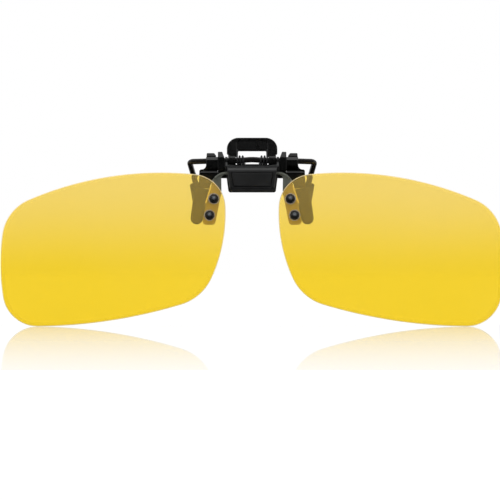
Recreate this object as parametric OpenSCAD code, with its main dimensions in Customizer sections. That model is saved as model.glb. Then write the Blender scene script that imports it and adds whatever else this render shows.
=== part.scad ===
// Flip-up lenses that clip on to spectacles: a sprung two-jaw clamp, a flip hinge and two tinted lenses.
// X runs across the face, Y back towards the wearer and Z up. The origin is the middle of the grip,
// between the jaw tips. Side pieces are drawn for the +X side, and the -X side is their mirror image.

/* [Lenses] */
// Width of one lens
lens_w = 60.2; // [54:0.1:62]
// Height of one lens
lens_h = 41.2; // [38:0.1:44]
// Thickness of a lens
lens_t = 1.1; // [0.8:0.1:1.6]
// Gap between the two lenses, over the nose
lens_gap = 14; // [13.4:0.1:14.6]
// Drop from the hinge axis to the top of the lenses
lens_drop = 3.2; // [2.8:0.1:3.6]
// Radius of the sphere that a lens front follows
lens_sphere_r = 132; // [120:1:180]
// Distance of a lens's foremost point from its nasal edge
lens_centre_in = 25; // [23:0.5:27]
// Corner radius, nasal top
nose_top_r = 9; // [7:0.1:10]
// Corner radius, temple top
temple_top_r = 11.8; // [10:0.1:13]
// Corner radius, temple bottom
temple_low_r = 9.2; // [8:0.1:11]
// Corner radius, nasal bottom
nose_low_r = 13.1; // [11:0.1:14]
// Bow radius of the top edge
top_bow_r = 90; // [80:1:110]
// Bow radius of the temple edge
temple_bow_r = 58; // [50:1:70]
// Bow radius of the bottom edge
low_bow_r = 137; // [120:1:160]
// Bow radius of the nasal edge
nose_bow_r = 41.5; // [36:0.5:50]

/* [Brackets and rivets] */
// Thickness of the bracket sheet
bracket_t = 0.5; // [0.4:0.05:0.7]
// Width of the bracket's pad
pad_w = 3.4; // [3.2:0.1:3.8]
// Lean of the pad from upright, in degrees
pad_lean = 11.2; // [9:0.1:13]
// Distance of the rivets' midpoint from the middle plane
rivet_x = 10.8; // [10.6:0.1:11.2]
// Drop of the rivets' midpoint below the hinge axis
rivet_drop = 12.4; // [12:0.1:12.8]
// Spacing of the two rivets of a lens
rivet_pitch = 4.56; // [4.2:0.02:5]
// Lean of the rivet pair from upright, in degrees
rivet_lean = 15.3; // [12:0.1:17]
// Diameter of a rivet's head
rivet_head_d = 2.6; // [2.3:0.1:2.8]
// Height of a rivet's head
rivet_head_h = 0.9; // [0.7:0.05:1.1]
// Diameter of a rivet's shank
rivet_d = 1.2; // [1:0.05:1.4]
// Diameter of a rivet's clinched tail
rivet_tail_d = 2; // [1.8:0.1:2.3]
// Height of a rivet's clinched tail
rivet_tail_h = 0.5; // [0.4:0.05:0.7]
// Diameter of a washer
washer_d = 3; // [2.9:0.1:3.3]
// Thickness of a washer
washer_t = 0.3; // [0.2:0.05:0.4]

/* [Hinge shaft and rear wire] */
// Height of the hinge axis above the middle of the grip
axis_z = 12.5; // [12:0.1:13]
// Diameter of the rear wire, which is also the hinge shaft
wire_d = 1.45; // [1.3:0.01:1.5]
// Distance of the wire's elbows from the middle plane
elbow_x = 17.05; // [16.8:0.05:17.2]
// Bend radius of the wire along its middle
bend_r = 1.2; // [1:0.05:1.5]
// Distance that the arms bow back behind the hinge axis
arm_back = 5.1; // [4.9:0.1:5.4]
// Distance of the arms' ends from the middle plane
arm_x = 15.85; // [15.6:0.05:16.1]
// Drop of the arms' ends below the hinge axis
arm_drop = 3.2; // [2.8:0.1:3.6]
// Distance of the knees from the middle plane
knee_x = 15.15; // [15:0.05:15.3]
// Drop of the knees below the hinge axis
knee_drop = 5.95; // [5.8:0.05:6.2]
// Distance of the rear tips from the middle plane
rear_tip_x = 13.6; // [13.3:0.1:13.8]
// Running clearance of the shaft in its bores, on the radius
pin_clear = 0.05; // [0.03:0.01:0.08]

/* [Front jaw] */
// Thickness of the bearing cheeks
cheek_t = 1.8; // [1.7:0.05:1.9]
// How far the flange's inner face leans out towards its top
flange_taper = 0.65; // [0.6:0.05:0.8]
// Height of the flange above the hinge axis
flange_h = 2.38; // [2.2:0.02:2.5]
// Height of the flange's shoulders above the hinge axis
flange_shoulder = 0.88; // [0.8:0.02:1]
// Half depth of the flange
flange_y = 2.2; // [2.1:0.02:2.22]
// Length of the end blocks, across the face
block_len = 3.15; // [3:0.05:3.3]
// Height of the end blocks above the hinge axis
block_top = 1; // [0.95:0.05:1.1]
// Half depth of the end blocks
block_y = 1.7; // [1.5:0.05:1.8]
// Height of the knobs above the blocks
knob_h = 0.92; // [0.8:0.01:1]
// Drop of the feet's tops below the hinge axis
foot_drop = 2.35; // [2.2:0.05:2.5]
// Radius of the hollow curve from an end block's side to its foot's top
foot_sweep = 1.2; // [1:0.05:1.3]
// Drop of the feet's ledge below the hinge axis
ledge_drop = 3.15; // [3:0.05:3.3]
// How far the feet reach out beyond the end blocks
foot_reach = 1.8; // [1.7:0.05:1.9]
// Thickness of the crossbar, top to bottom
bar_h = 2.5; // [2.2:0.1:2.8]
// Depth of the crossbar, front to back
bar_d = 2.8; // [2.4:0.1:3.2]
// Drop of the crossbar's top below the hinge axis
bar_drop = 2.2; // [2.1:0.05:2.4]
// Distance of the crossbar's front ahead of the hinge axis
bar_ahead = 0.6; // [0.5:0.05:0.7]
// Drop of the middle rib's top below the hinge axis
rib_drop = 0.92; // [0.9:0.01:1]
// Half width of the middle rib
rib_half_w = 1.75; // [1.6:0.05:1.8]
// Drop of the rails' tops, behind the springs, below the hinge axis
rail_drop = 0.6; // [0.6:0.02:0.8]
// Thickness of the rails
rail_t = 0.6; // [0.5:0.02:0.6]
// Thickness of the blades inside the front sleeves
blade_t = 0.8; // [0.6:0.05:0.9]
// Width of the blades inside the front sleeves
blade_w = 1.6; // [1.4:0.1:2]

/* [Sleeves] */
// Thickness of the four sleeves
sleeve_t = 2; // [1.9:0.02:2.1]
// Width of a front sleeve at its mouth
front_mouth_w = 3.7; // [3.4:0.1:3.9]
// Width of a rear sleeve at its mouth
rear_mouth_w = 3.3; // [3.1:0.1:3.5]
// Width of the sleeves at their tips
sleeve_tip_w = 3.3; // [3.1:0.1:3.4]
// Drop of the front sleeves' mouths below the hinge axis
front_mouth_drop = 7.3; // [7.2:0.05:7.4]
// Drop of the front sleeves' tips below the hinge axis
sleeve_low = 17.05; // [16.8:0.05:17.5]
// Distance of the front sleeves' mouths from the middle plane
front_mouth_x = 13.55; // [13.4:0.05:13.7]
// Distance of the front sleeves' tips from the middle plane
front_tip_x = 14.85; // [14.7:0.05:15]
// Gap between the front and rear sleeves at the tips, at rest
grip_gap = 0.3; // [0.2:0.05:0.6]
// Height of the rear wire's ends above the front sleeves' tips
rear_tip_rise = 2.1; // [1.9:0.1:2.3]
// Length of a rear sleeve below the knee, along the leg
rear_sleeve_len = 10.7; // [10.4:0.1:10.9]

/* [Squeeze lever] */
// Lean of the lever behind upright, in degrees
lever_lean = 18; // [16:0.5:20]
// Height of the lever's top above the hinge axis, upright
lever_h = 6.23; // [5.8:0.01:6.8]
// Half width of the lever
lever_half_w = 6.75; // [6.6:0.05:6.85]
// Thickness of the lever's plate
lever_t = 1.2; // [1:0.05:1.25]
// Corner radius of the lever
lever_corner_r = 3.1; // [2.6:0.1:3.3]
// Half width of the lever's window
window_half_w = 3.75; // [3.6:0.05:3.8]
// Height of the window's top above the hinge axis, upright
window_h = 2.75; // [2.6:0.05:3]
// Radius of the lever's two hubs
hub_r = 1.35; // [1.3:0.01:1.4]
// Distance of the hubs' inner ends from the middle plane
hub_in = 4.35; // [4.3:0.05:4.5]
// Depth of the finger dish in the lever's front
dish_depth = 0.25; // [0.15:0.05:0.35]

/* [Springs] */
// Diameter of the spring wire
spring_wire = 0.4; // [0.36:0.01:0.42]
// Mean radius of the spring's curls
spring_r = 1.2; // [1.15:0.01:1.25]
// Pitch of the curls
spring_pitch = 0.82; // [0.82:0.005:0.85]
// Whole curls in each spring, besides the angle between its legs
spring_turns = 2; // [1:1:2]
// Distance of the springs' outer legs from the middle plane
spring_out = 4.02; // [3.98:0.01:4.06]
// Length of the leg that lies on the lever
lever_leg = 2.8; // [2.4:0.1:3]
// Length of the leg that lies on the crossbar
bar_leg = 3.4; // [3:0.1:3.8]
// Gap between a spring leg's end and what it bears on
leg_gap = 0.1; // [0.05:0.01:0.15]

/* [Hinge housing] */
// Half width of the housing at the hinge
housing_half_w = 7.2; // [7.15:0.01:7.25]
// Bulge of the housing's sides below the brow
housing_bulge = 0.25; // [0.15:0.05:0.35]
// Half width of the housing at its foot
housing_foot_w = 6.2; // [6:0.05:6.4]
// Half width of the box that holds the tangs
box_half_w = 6.75; // [6.65:0.05:6.8]
// Drop of the housing's top below the hinge axis
housing_drop = 1.38; // [1.3:0.02:1.5]
// Drop of the housing's foot below the hinge axis
housing_low = 8.5; // [8.3:0.05:8.8]
// Distance of the housing's back ahead of the hinge axis
housing_back = 1.6; // [1.55:0.01:1.65]
// Thickness of the housing's back wall
back_wall = 0.8; // [0.7:0.05:0.9]
// Depth of the pocket that holds the tangs
pocket_d = 1.3; // [1.2:0.05:1.5]
// Half width of the pocket
pocket_half_w = 5.9; // [5.7:0.05:6]
// Drop of the pocket's top below the hinge axis
pocket_drop = 3; // [2.9:0.05:3]
// Drop of the pocket's floor below the hinge axis
pocket_low = 7.6; // [7.5:0.05:7.7]
// Thickness of the cover
cover_t = 1; // [0.8:0.05:1.2]
// Height of the raised panel on the cover
panel_t = 0.2; // [0.15:0.05:0.3]
// Thickness of the two ears on the shaft
ear_t = 0.65; // [0.6:0.01:0.65]
// Radius of the ears round the shaft
ear_r = 1.05; // [1:0.01:1.1]
// Drop of the webs' upper ends, beside the ears, below the hinge axis
web_drop = 0.9; // [0.9:0.02:1.1]
// Distance of the webs' inner ends from the middle plane
web_in = 4.4; // [4.4:0.05:4.6]
// Distance of the tang posts from the middle plane
post_x = 4; // [3.8:0.05:4.2]
// Drop of the tang posts below the hinge axis
post_drop = 5.3; // [5.2:0.05:5.4]
// Diameter of the tang posts
post_d = 1.1; // [1:0.05:1.2]

/* [Clearances] */
// Clearance between pieces that are fitted together and don't move on each other
fit_clear = 0.03; // [0.01:0.01:0.05]
// Side gap between the housing's ears and the hubs and cheeks beside them
ear_gap = 0.15; // [0.1:0.01:0.2]
// Clearance of the tangs' holes round the posts, on the radius
post_clear = 0.05; // [0.03:0.01:0.1]
// Clearance of the rivet shanks in lens, bracket and washer, on the radius
shank_clear = 0.05; // [0.03:0.01:0.1]
// Gap between a lens's back and its bracket where they come nearest
bracket_gap = 0.03; // [0.02:0.01:0.1]
// Gap between the cover's lip and the tangs
lip_gap = 0.1; // [0.05:0.01:0.2]

/* [Hidden] */

// Steps in a rounded corner of an outline
corner_steps = 8;
// Radius that breaks the moulded outlines' small corners
small_r = 0.35;

black_plastic = "#1d1f1f";
black_steel = "#232424";
black_rubber = "#2a2b2a";
yellow_tint = [1, 0.83, 0.3, 0.6];
clear_nylon = "#cfc8bd";

shaft_bore_d = wire_d + 2 * pin_clear;
hub_bore_d = wire_d + 2 * fit_clear;

// Along the shaft: lever hub, housing ear, bearing cheek, end block and foot
hub_out = housing_half_w - ear_t - ear_gap;
cheek_in = housing_half_w + ear_gap;
flange_in = cheek_in + flange_taper;
block_in = cheek_in + cheek_t;
block_out = block_in + block_len;
foot_out = block_out + foot_reach;

// Plain vector helpers
function unit(v) = v / norm(v);
function direction(a) = [cos(a), sin(a)];
function arc(c, r, a0, a1, n) = [for (i = [0:n]) c + r * direction(a0 + (a1 - a0) * i / n)];
function heading(v) = atan2(v[1], v[0]);
function turn_from(a, b) = let (d = b - a) d > 180 ? d - 360 : d < -180 ? d + 360 : d;

// One corner of an outline, where each point is [x, y, radius]
function rounded_corner(p, q, s) =
    let (c = [q[0], q[1]])
    q[2] <= 0 ? [c] :
    let (
        a = unit([p[0], p[1]] - c),
        b = unit([s[0], s[1]] - c),
        half = acos(a * b) / 2,
        centre = c + unit(a + b) * q[2] / sin(half),
        first = heading(c + a * q[2] / tan(half) - centre),
        last = heading(c + b * q[2] / tan(half) - centre)
    )
    arc(centre, q[2], first, first + turn_from(first, last), corner_steps);
function rounded(pts) =
    let (n = len(pts))
    [for (i = [0:n - 1]) each rounded_corner(pts[(i + n - 1) % n], pts[i], pts[(i + 1) % n])];
function flipped(q) = [-q[0], q[1], q[2]];
function mirrored_pair(pts) = concat(pts, [for (i = [len(pts) - 1:-1:0]) flipped(pts[i])]);

// Places what is drawn about the hinge axis
module at_axis() {
    translate([0, 0, axis_z]) children();
}

module left() {
    mirror([1, 0, 0]) children();
}

// Draws an outline of [x, z] and thickens it from y0 back to y1
module slab(y0, y1) {
    translate([0, y1, 0]) rotate([90, 0, 0]) linear_extrude(y1 - y0) children();
}

// Draws a side profile of [y, z] and thickens it from x0 to x1
module across(x0, x1) {
    translate([x0, 0, 0]) rotate([90, 0, 90]) linear_extrude(x1 - x0) children();
}

// A round bar or a bore about the hinge axis
module round_bar(x0, x1, d) {
    translate([x0, 0, 0]) rotate([0, 90, 0]) cylinder(d = d, h = x1 - x0, $fn = 48);
}

// Lens: four corner arcs joined by four long bows, cut from a spherical shell
lens_in = lens_gap / 2;
lens_out = lens_in + lens_w;
lens_top = -lens_drop;
lens_low = lens_top - lens_h;
lens_mid = [lens_in + lens_centre_in, lens_top - lens_h / 2];

// Corner centres, set in from the nasal or temple edge and from the top or bottom
lens_corners = [
    [lens_in + nose_low_r + 2.6, lens_low + nose_low_r + 5.4, nose_low_r],
    [lens_out - temple_low_r - 0.5, lens_low + temple_low_r - 0.1, temple_low_r],
    [lens_out - temple_top_r - 0.4, lens_top - temple_top_r - 6.3, temple_top_r],
    [lens_in + nose_top_r + 0.1, lens_top - nose_top_r - 0.4, nose_top_r]
];
lens_bows = [low_bow_r, temple_bow_r, top_bow_r, nose_bow_r];

// Centre of the bow that touches two corner circles from outside them
function bow_centre(p, q, r) =
    let (
        d = [q[0] - p[0], q[1] - p[1]],
        from_p = r - p[2],
        from_q = r - q[2],
        along = (d * d + from_p * from_p - from_q * from_q) / (2 * norm(d)),
        u = unit(d)
    )
    [p[0], p[1]] + u * along + [-u[1], u[0]] * sqrt(from_p * from_p - along * along);
function corner_point(k) = [lens_corners[k % 4][0], lens_corners[k % 4][1]];
function bow_of(k) = bow_centre(lens_corners[k % 4], lens_corners[(k + 1) % 4], lens_bows[k % 4]);
function lens_outline() = [
    for (k = [0:3])
        let (
            start = heading(corner_point(k) - bow_of(k)),
            end = heading(corner_point(k + 1) - bow_of(k)),
            next = heading(corner_point(k + 1) - bow_of(k + 1))
        )
        each concat(
            arc(bow_of(k), lens_bows[k], start, start + turn_from(start, end), 14),
            arc(corner_point(k + 1), lens_corners[(k + 1) % 4][2], end, end + turn_from(end, next), 10)
        )
];

// Drops points that repeat where an arc meets the next one
function without_repeats(pts) = [
    for (i = [0:len(pts) - 1]) if (norm(pts[i] - pts[(i + 1) % len(pts)]) > 0.001) pts[i]
];

module lens() {
    color(yellow_tint)
    difference() {
        intersection() {
            slab(lens_front - 1, lens_sphere_c[1]) polygon(without_repeats(lens_outline()));
            difference() {
                translate(lens_sphere_c) sphere(r = lens_sphere_r, $fn = 180);
                translate(lens_sphere_c) sphere(r = lens_sphere_r - lens_t, $fn = 180);
            }
        }
        for (up = [-1, 1]) at_rivet(up) on_rivet_axis(-1, lens_t + 1, rivet_d / 2 + shank_clear);
    }
}

// Bracket: a flat pad behind the lens, a neck that arcs in to the housing and a tang held by a post
tang_back = -housing_back - back_wall;
neck_top = -pocket_drop - 0.05;
neck_r = 3.9;
neck_side_gap = 0.2;
neck_x = box_half_w + neck_side_gap;
neck_w = 0.65;
neck_inner_r = 1.1;
pad_inner_r = 0.9;
pad_end = -17.15;
flange_end = 38;

// From the lens's foremost point to the rivets' midpoint, and how far that is ahead of the sphere's centre
pad_reach = [rivet_x, -rivet_drop] - lens_mid;
pad_depth = sqrt(lens_sphere_r * lens_sphere_r - pad_reach * pad_reach);
pad_pitch = asin(-pad_reach[1] / lens_sphere_r);
pad_yaw = atan2(pad_reach[0], pad_depth);

// The bracket is flat and the lens's back is hollow, so they come nearest beside the neck
neck_reach = [neck_x + neck_inner_r, neck_top - neck_w - neck_inner_r] - [rivet_x, -rivet_drop];
lens_hollow = neck_reach * neck_reach / (2 * (lens_sphere_r - lens_t));
bracket_front = lens_t + lens_hollow + bracket_gap;

// Each neck runs into its tang, which sets how far ahead of the hinge axis the lenses stand
neck_end = [neck_x + 0.2, neck_top - neck_w / 2] - [rivet_x, -rivet_drop];
neck_behind_pad = (bracket_front * lens_sphere_r + neck_end * pad_reach) / pad_depth;
pad_point = [rivet_x, tang_back - bracket_t - neck_behind_pad, -rivet_drop];
lens_sphere_c = [lens_mid[0], pad_point[1] + pad_depth, lens_mid[1]];
lens_front = lens_sphere_c[1] - lens_sphere_r;

// The pad's frame: its origin is on the lens front between the rivets, and its Y runs square into the lens
module on_pad() {
    translate(pad_point) rotate([0, 0, pad_yaw]) rotate([pad_pitch, 0, 0]) children();
}

// up is 1 for the upper rivet and -1 for the lower one
module at_rivet(up) {
    on_pad()
    translate(up * rivet_pitch / 2 * [-sin(rivet_lean), 0, cos(rivet_lean)]) children();
}

module on_rivet_axis(y0, y1, r) {
    translate([0, y0, 0]) rotate([-90, 0, 0]) cylinder(r = r, h = y1 - y0, $fn = 40);
}

// The outline is drawn as it looks from straight ahead, so it is moved back by what the tilt shifts it
pad_view_shift = [bracket_front * sin(pad_yaw) - rivet_x, 0, rivet_drop - bracket_front * sin(pad_pitch)];

function beside_pad(side, z) = rivet_x + side * pad_w / 2 / cos(pad_lean) - (z + rivet_drop) * tan(pad_lean);

module neck_and_pad_outline() {
    neck_out = neck_x + neck_r;
    neck_in = neck_x + neck_inner_r;
    outer = arc([neck_x, neck_top - neck_r], neck_r, 90, 0, 14);
    inner = arc([neck_x, neck_top - neck_w - neck_inner_r], neck_inner_r, 0, 90, 8);
    shoulder_z = neck_top - neck_r - 4.6;
    foot = rounded([
        [neck_out, neck_top - neck_r, 0],
        [beside_pad(1, shoulder_z), shoulder_z, 0],
        [beside_pad(1, pad_end), pad_end, pad_inner_r],
        [beside_pad(-1, pad_end), pad_end, pad_inner_r],
        [neck_in, -8, 0]
    ]);
    polygon(concat(outer, foot, inner));
}

module neck_flange() {
    span = 90 - flange_end;
    polygon(concat(
        arc([neck_x, neck_top - neck_r], neck_r, 90, 90 - span, 10),
        arc([neck_x, neck_top - neck_r], neck_r - bracket_t, 90 - span, 90, 10)
    ));
}

module tang_outline() {
    polygon(rounded([
        [neck_x + 0.4, neck_top, 0],
        [post_x - 1.3, neck_top, 0.6],
        [post_x - 1.3, -post_drop - 1.6, 0.6],
        [post_x + 1.3, -post_drop - 1.6, 0.6],
        [post_x + 1.3, neck_top - neck_w, 0.5],
        [neck_x + 0.4, neck_top - neck_w, 0]
    ]));
}

module bracket() {
    color(black_steel)
    difference() {
        union() {
            on_pad() translate(pad_view_shift) {
                slab(bracket_front, bracket_front + bracket_t) neck_and_pad_outline();
                slab(bracket_front - 0.6, bracket_front + 0.1) neck_flange();
            }
            slab(tang_back - bracket_t, tang_back) tang_outline();
        }
        translate([post_x, 0, -post_drop])
            on_rivet_axis(tang_back - bracket_t - 1, tang_back + 1, post_d / 2 + post_clear);
        for (up = [-1, 1]) at_rivet(up) on_rivet_axis(0, lens_t + 3, rivet_d / 2 + shank_clear);
    }
}

// Rivet: a domed head on a washer, a shank through lens and bracket, and a clinched tail
module rivet(up) {
    cap_r = (rivet_head_d * rivet_head_d / 4 + rivet_head_h * rivet_head_h) / (2 * rivet_head_h);
    rim = atan2(rivet_head_d / 2, cap_r - rivet_head_h);
    tail = bracket_front + bracket_t + fit_clear;
    dome = arc([0, cap_r - washer_t - rivet_head_h], cap_r, -90, rim - 90, 12);
    color(black_steel)
    at_rivet(up)
    rotate([-90, 0, 0])
    rotate_extrude($fn = 40)
    polygon(concat(dome, [
        [rivet_d / 2, -washer_t],
        [rivet_d / 2, tail],
        [rivet_tail_d / 2, tail],
        [rivet_tail_d / 2 - 0.15, tail + rivet_tail_h],
        [0, tail + rivet_tail_h]
    ]));
}

module washer(up) {
    color(clear_nylon)
    at_rivet(up)
    difference() {
        on_rivet_axis(-washer_t, 0, washer_d / 2);
        on_rivet_axis(-washer_t - 1, 1, rivet_d / 2 + shank_clear);
    }
}

// Housing: a back wall, a box round the pocket, two ears on the shaft and a post for each tang
box_front = -housing_back - back_wall - pocket_d;

module housing_front_outline(half_w, bulge) {
    shoulder = [[half_w, -bulge_drop, bulge_h], [half_w + bulge, -bulge_drop - bulge_h, bulge_h]];
    polygon(rounded(mirrored_pair(concat(
        [[half_w, -housing_drop, small_r]],
        bulge > 0 ? shoulder : [],
        [[half_w + bulge, -bulge_low, bulge_low_r]],
        [[half_w - housing_half_w + housing_foot_w, -housing_low, 0.6]]
    ))));
}

// Side profile of housing and cover together: a ledge, a notch, a round brow, the face and the foot
ledge_d = 0.95;
notch_d = 1.05;
notch_drop = 1.82;
brow_d = 1.35;
brow_drop = 1.95;
brow_r = 1.4;
bulge_drop = 3.8;
bulge_h = 0.8;
bulge_low = 5.5;
bulge_low_r = 2;
housing_toe = 0.6;

module housing_side_profile() {
    polygon(rounded([
        [-housing_back, -housing_drop, 0.15],
        [-housing_back - ledge_d, -housing_drop, 0.25],
        [-housing_back - notch_d, -notch_drop, 0.05],
        [-housing_back - brow_d, -brow_drop, 0],
        [box_front - cover_t, -brow_drop, brow_r],
        [box_front - cover_t, -housing_low + housing_toe, 0.3],
        [box_front - cover_t + housing_toe, -housing_low, 0.3],
        [-housing_back, -housing_low, 0.4]
    ]));
}

// An ear, which slopes down from its front to the ledge and is rooted this far down the back wall
ear_root = 1.5;
ear_heel = 0.3;
ear_heel_drop = 0.8;

module ear_profile() {
    circle(r = ear_r, $fn = 48);
    polygon([
        [-ear_r * cos(22), -ear_r * sin(22)],
        [tang_back, -housing_drop],
        [tang_back, -housing_drop - ear_root],
        [-housing_back + ear_heel, -housing_drop - ear_root],
        [-housing_back + ear_heel, -housing_drop - ear_heel_drop],
        [0, -ear_r]
    ]);
}

// Low web that props an ear from the ledge and falls away towards the middle
web_root = 0.3;
web_overlap = 0.1;

module web() {
    intersection() {
        across(web_in, housing_half_w) polygon([
            [-housing_back, -web_drop],
            [tang_back - web_overlap, -housing_drop],
            [tang_back - web_overlap, -housing_drop - web_root],
            [-housing_back, -housing_drop - web_root]
        ]);
        slab(tang_back - 1, 0) polygon([
            [housing_half_w, -web_drop],
            [web_in, -housing_drop + web_overlap],
            [web_in, -housing_drop - web_root],
            [housing_half_w, -housing_drop - web_root]
        ]);
    }
}

module ear() {
    across(housing_half_w - ear_t, housing_half_w) ear_profile();
    web();
}

module hinge_housing() {
    wall_half_w = housing_half_w + housing_bulge;
    color(black_plastic)
    difference() {
        union() {
            intersection() {
                across(-wall_half_w, wall_half_w) housing_side_profile();
                union() {
                    slab(tang_back, 0) housing_front_outline(housing_half_w, housing_bulge);
                    slab(box_front, 0) housing_front_outline(box_half_w, 0);
                }
            }
            ear();
            left() ear();
        }
        difference() {
            slab(box_front - 1, tang_back) pocket_outline(0);
            for (side = [-1, 1]) translate([side * post_x, 0, -post_drop])
                on_rivet_axis(box_front + 0.4, 0, post_d / 2);
        }
        neck_slot();
        left() neck_slot();
        round_bar(-elbow_x, elbow_x, shaft_bore_d);
    }
}

module pocket_outline(inset) {
    polygon(rounded(mirrored_pair([
        [pocket_half_w - inset, -pocket_drop - inset, 0.3],
        [pocket_half_w - inset - 0.5, -pocket_low + inset, 0.3]
    ])));
}

// Slot in the side of the box that a neck leaves through
module neck_slot() {
    translate([pocket_half_w - 0.5, tang_back - bracket_t - 0.35, neck_top - neck_w - 0.1])
        cube([2.5, bracket_t + 0.35, neck_w + 0.15]);
}

module housing_cover() {
    lip_end = tang_back - bracket_t - lip_gap;
    color(black_plastic)
    difference() {
        union() {
            intersection() {
                across(-box_half_w, box_half_w) housing_side_profile();
                slab(box_front - cover_t, box_front) housing_front_outline(box_half_w - 0.2, 0);
            }
            slab(box_front - cover_t - panel_t, box_front - cover_t + 0.3) panel_outline();
            slab(box_front - cover_t - panel_t, box_front - cover_t + 0.3) foot_rib_outline();
            slab(box_front - 0.1, lip_end) pocket_outline(0.1);
        }
        for (side = [-1, 1]) translate([side * post_x, 0, -post_drop])
            on_rivet_axis(box_front + 0.25, 0, post_d / 2 + post_clear);
    }
}

panel_top = -3.05;
panel_low = -6.76;
rib_top = -7.16;
rib_low = -7.7;

// Half width of the cover's raised work, which narrows towards the foot
function panel_half_w(z) = box_half_w - 0.4 - (panel_top - z) * 0.14;

module panel_outline() {
    polygon(rounded(mirrored_pair([
        [panel_half_w(panel_top), panel_top, 0.15],
        [panel_half_w(panel_low), panel_low, 0.15]
    ])));
}

module foot_rib_outline() {
    polygon(rounded(mirrored_pair([
        [panel_half_w(rib_top), rib_top, 0.15],
        [panel_half_w(rib_low), rib_low, 0.15]
    ])));
}

// Front jaw: a crossbar, bearing cheeks, end blocks with knobs, stepped feet and a blade for each sleeve
bar_low = -bar_drop - bar_h;
bar_back = bar_d - bar_ahead;
foot_front = -2;
foot_back = -0.4;
foot_low = 6.6;
sleeve_mid = -grip_gap / 2 - sleeve_t / 2;
front_leg_drop = sleeve_low - sleeve_tip_w / 2;
front_lean = atan2(front_tip_x - front_mouth_x, front_leg_drop - front_mouth_drop);

module crossbar_profile() {
    polygon(rounded([
        [-bar_ahead, -bar_drop, 0.3],
        [bar_back, -bar_drop, 0.6],
        [bar_back, bar_low, 0.4],
        [-bar_ahead, bar_low, 0.2]
    ]));
}

// The flange from the side, with sloping shoulders, and from in front, where its inner face tapers
module flange_profile() {
    slope = 1.3;
    flange_foot = -2.6;
    polygon(rounded([
        [slope - flange_y, flange_h, 0.3],
        [flange_y - slope, flange_h, 0.3],
        [flange_y, flange_shoulder, 0.5],
        [flange_y, flange_foot, 0.5],
        [-flange_y, flange_foot, 0.4],
        [-flange_y, flange_shoulder, 0.4]
    ]));
}

module flange_front_outline() {
    polygon(rounded([
        [cheek_in, bar_low, 0],
        [cheek_in, flange_shoulder - 0.2, 0.3],
        [flange_in, flange_h, 0.15],
        [block_in, flange_h, 0.15],
        [block_in, bar_low, 0]
    ]));
}

module cheek() {
    intersection() {
        across(cheek_in, block_in) flange_profile();
        slab(-flange_y - 1, flange_y + 1) flange_front_outline();
    }
    across(cheek_in, block_in) polygon([
        [-bar_ahead, 0], [bar_back, 0], [bar_back, bar_low], [-bar_ahead, bar_low]
    ]);
}

module block_side_profile() {
    polygon(rounded([
        [-block_y + 0.95, block_top, 0.15],
        [block_y - 0.3, block_top, 0.2],
        [block_y, block_top - 0.4, 0.2],
        [block_y, -foot_drop - 0.2, 0.3],
        [-block_y, -foot_drop - 0.2, 0],
        [-block_y, block_top - 0.8, 0.15]
    ]));
}

module block_front_outline() {
    polygon([
        [block_in - 0.1, block_top + 1],
        [block_out, block_top + 1],
        [block_out, -foot_drop - 0.3],
        [block_in - 0.1, -foot_drop - 0.3]
    ]);
}

module knob() {
    knob_in = block_in + 0.45;
    knob_out = block_out - 0.1;
    intersection() {
        slab(-0.7, 1.1) polygon(rounded([
            [knob_in, block_top - 0.2, 0],
            [knob_in, block_top + 0.35, 0.05],
            [knob_in + 0.55, block_top + knob_h, 0.2],
            [knob_out - 0.08, block_top + knob_h, 0.25],
            [knob_out, block_top - 0.2, 0]
        ]));
        across(knob_in, knob_out) polygon(rounded([
            [-0.6, block_top - 0.2, 0],
            [-0.6, block_top + 0.25, 0.2],
            [0, block_top + knob_h, 0.3],
            [0.9, block_top + knob_h, 0.2],
            [1, block_top - 0.2, 0]
        ]));
    }
}

// A foot's lower edge lies along its sleeve's mouth and ends short of it on the inner side
function over_mouth(x) = [x, (x - front_mouth_x) * tan(front_lean) - front_mouth_drop + fit_clear, 0.3];

module foot() {
    slab(foot_front, foot_back) polygon(rounded([
        [block_in, -ledge_drop, 0],
        [foot_out, -ledge_drop, 0.2],
        over_mouth(foot_out + 0.25),
        over_mouth(front_mouth_x - front_mouth_w / 2 + 0.3),
        [block_in + 2.05, -foot_low, 0.4],
        [block_in + 1.2, bar_low, 0.4],
        [block_in, bar_low, 0]
    ]));
    slab(foot_front + 0.3, foot_back) polygon(rounded([
        [block_in, foot_sweep - foot_drop, 0],
        [block_out, foot_sweep - foot_drop, 0],
        [block_out, -foot_drop, foot_sweep],
        [foot_out, -foot_drop, 0.5],
        [foot_out, -ledge_drop - 0.2, 0],
        [block_in, -ledge_drop - 0.2, 0]
    ]));
}

// A front leg's frame: its origin is the middle of the sleeve's mouth and its -Z runs down the leg
module on_front_leg() {
    translate([front_mouth_x, sleeve_mid, -front_mouth_drop]) rotate([0, -front_lean, 0]) children();
}

front_leg_len = norm([front_tip_x - front_mouth_x, front_leg_drop - front_mouth_drop]);

module blade() {
    on_front_leg()
    translate([-blade_w / 2, -blade_t / 2, -front_leg_len - 0.3])
    cube([blade_w, blade_t, front_leg_len + 1.3]);
}

module front_jaw_half() {
    difference() {
        union() {
            cheek();
            intersection() {
                across(block_in - 0.1, block_out + 1) block_side_profile();
                slab(-block_y - 1, block_y + 1) block_front_outline();
            }
            knob();
            foot();
            blade();
        }
        round_bar(cheek_in - 1, elbow_x, shaft_bore_d);
    }
}

// Notch in the crossbar's front that keeps a spring leg in place
module spring_notch() {
    translate([spring_out - spring_run - spring_wire, -bar_ahead - 1, -bar_drop - 1.7])
        cube([2 * spring_wire, 1.15, 2.7]);
}

// Rib that stands between the springs, just under the shaft
module middle_rib() {
    across(-rib_half_w, rib_half_w) polygon(rounded([
        [-bar_ahead, -rib_drop, 0.2],
        [bar_ahead, -rib_drop, 0.2],
        [bar_back - 0.7, -bar_drop - 0.3, 0],
        [-bar_ahead, -bar_drop - 0.3, 0]
    ]));
}

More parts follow.
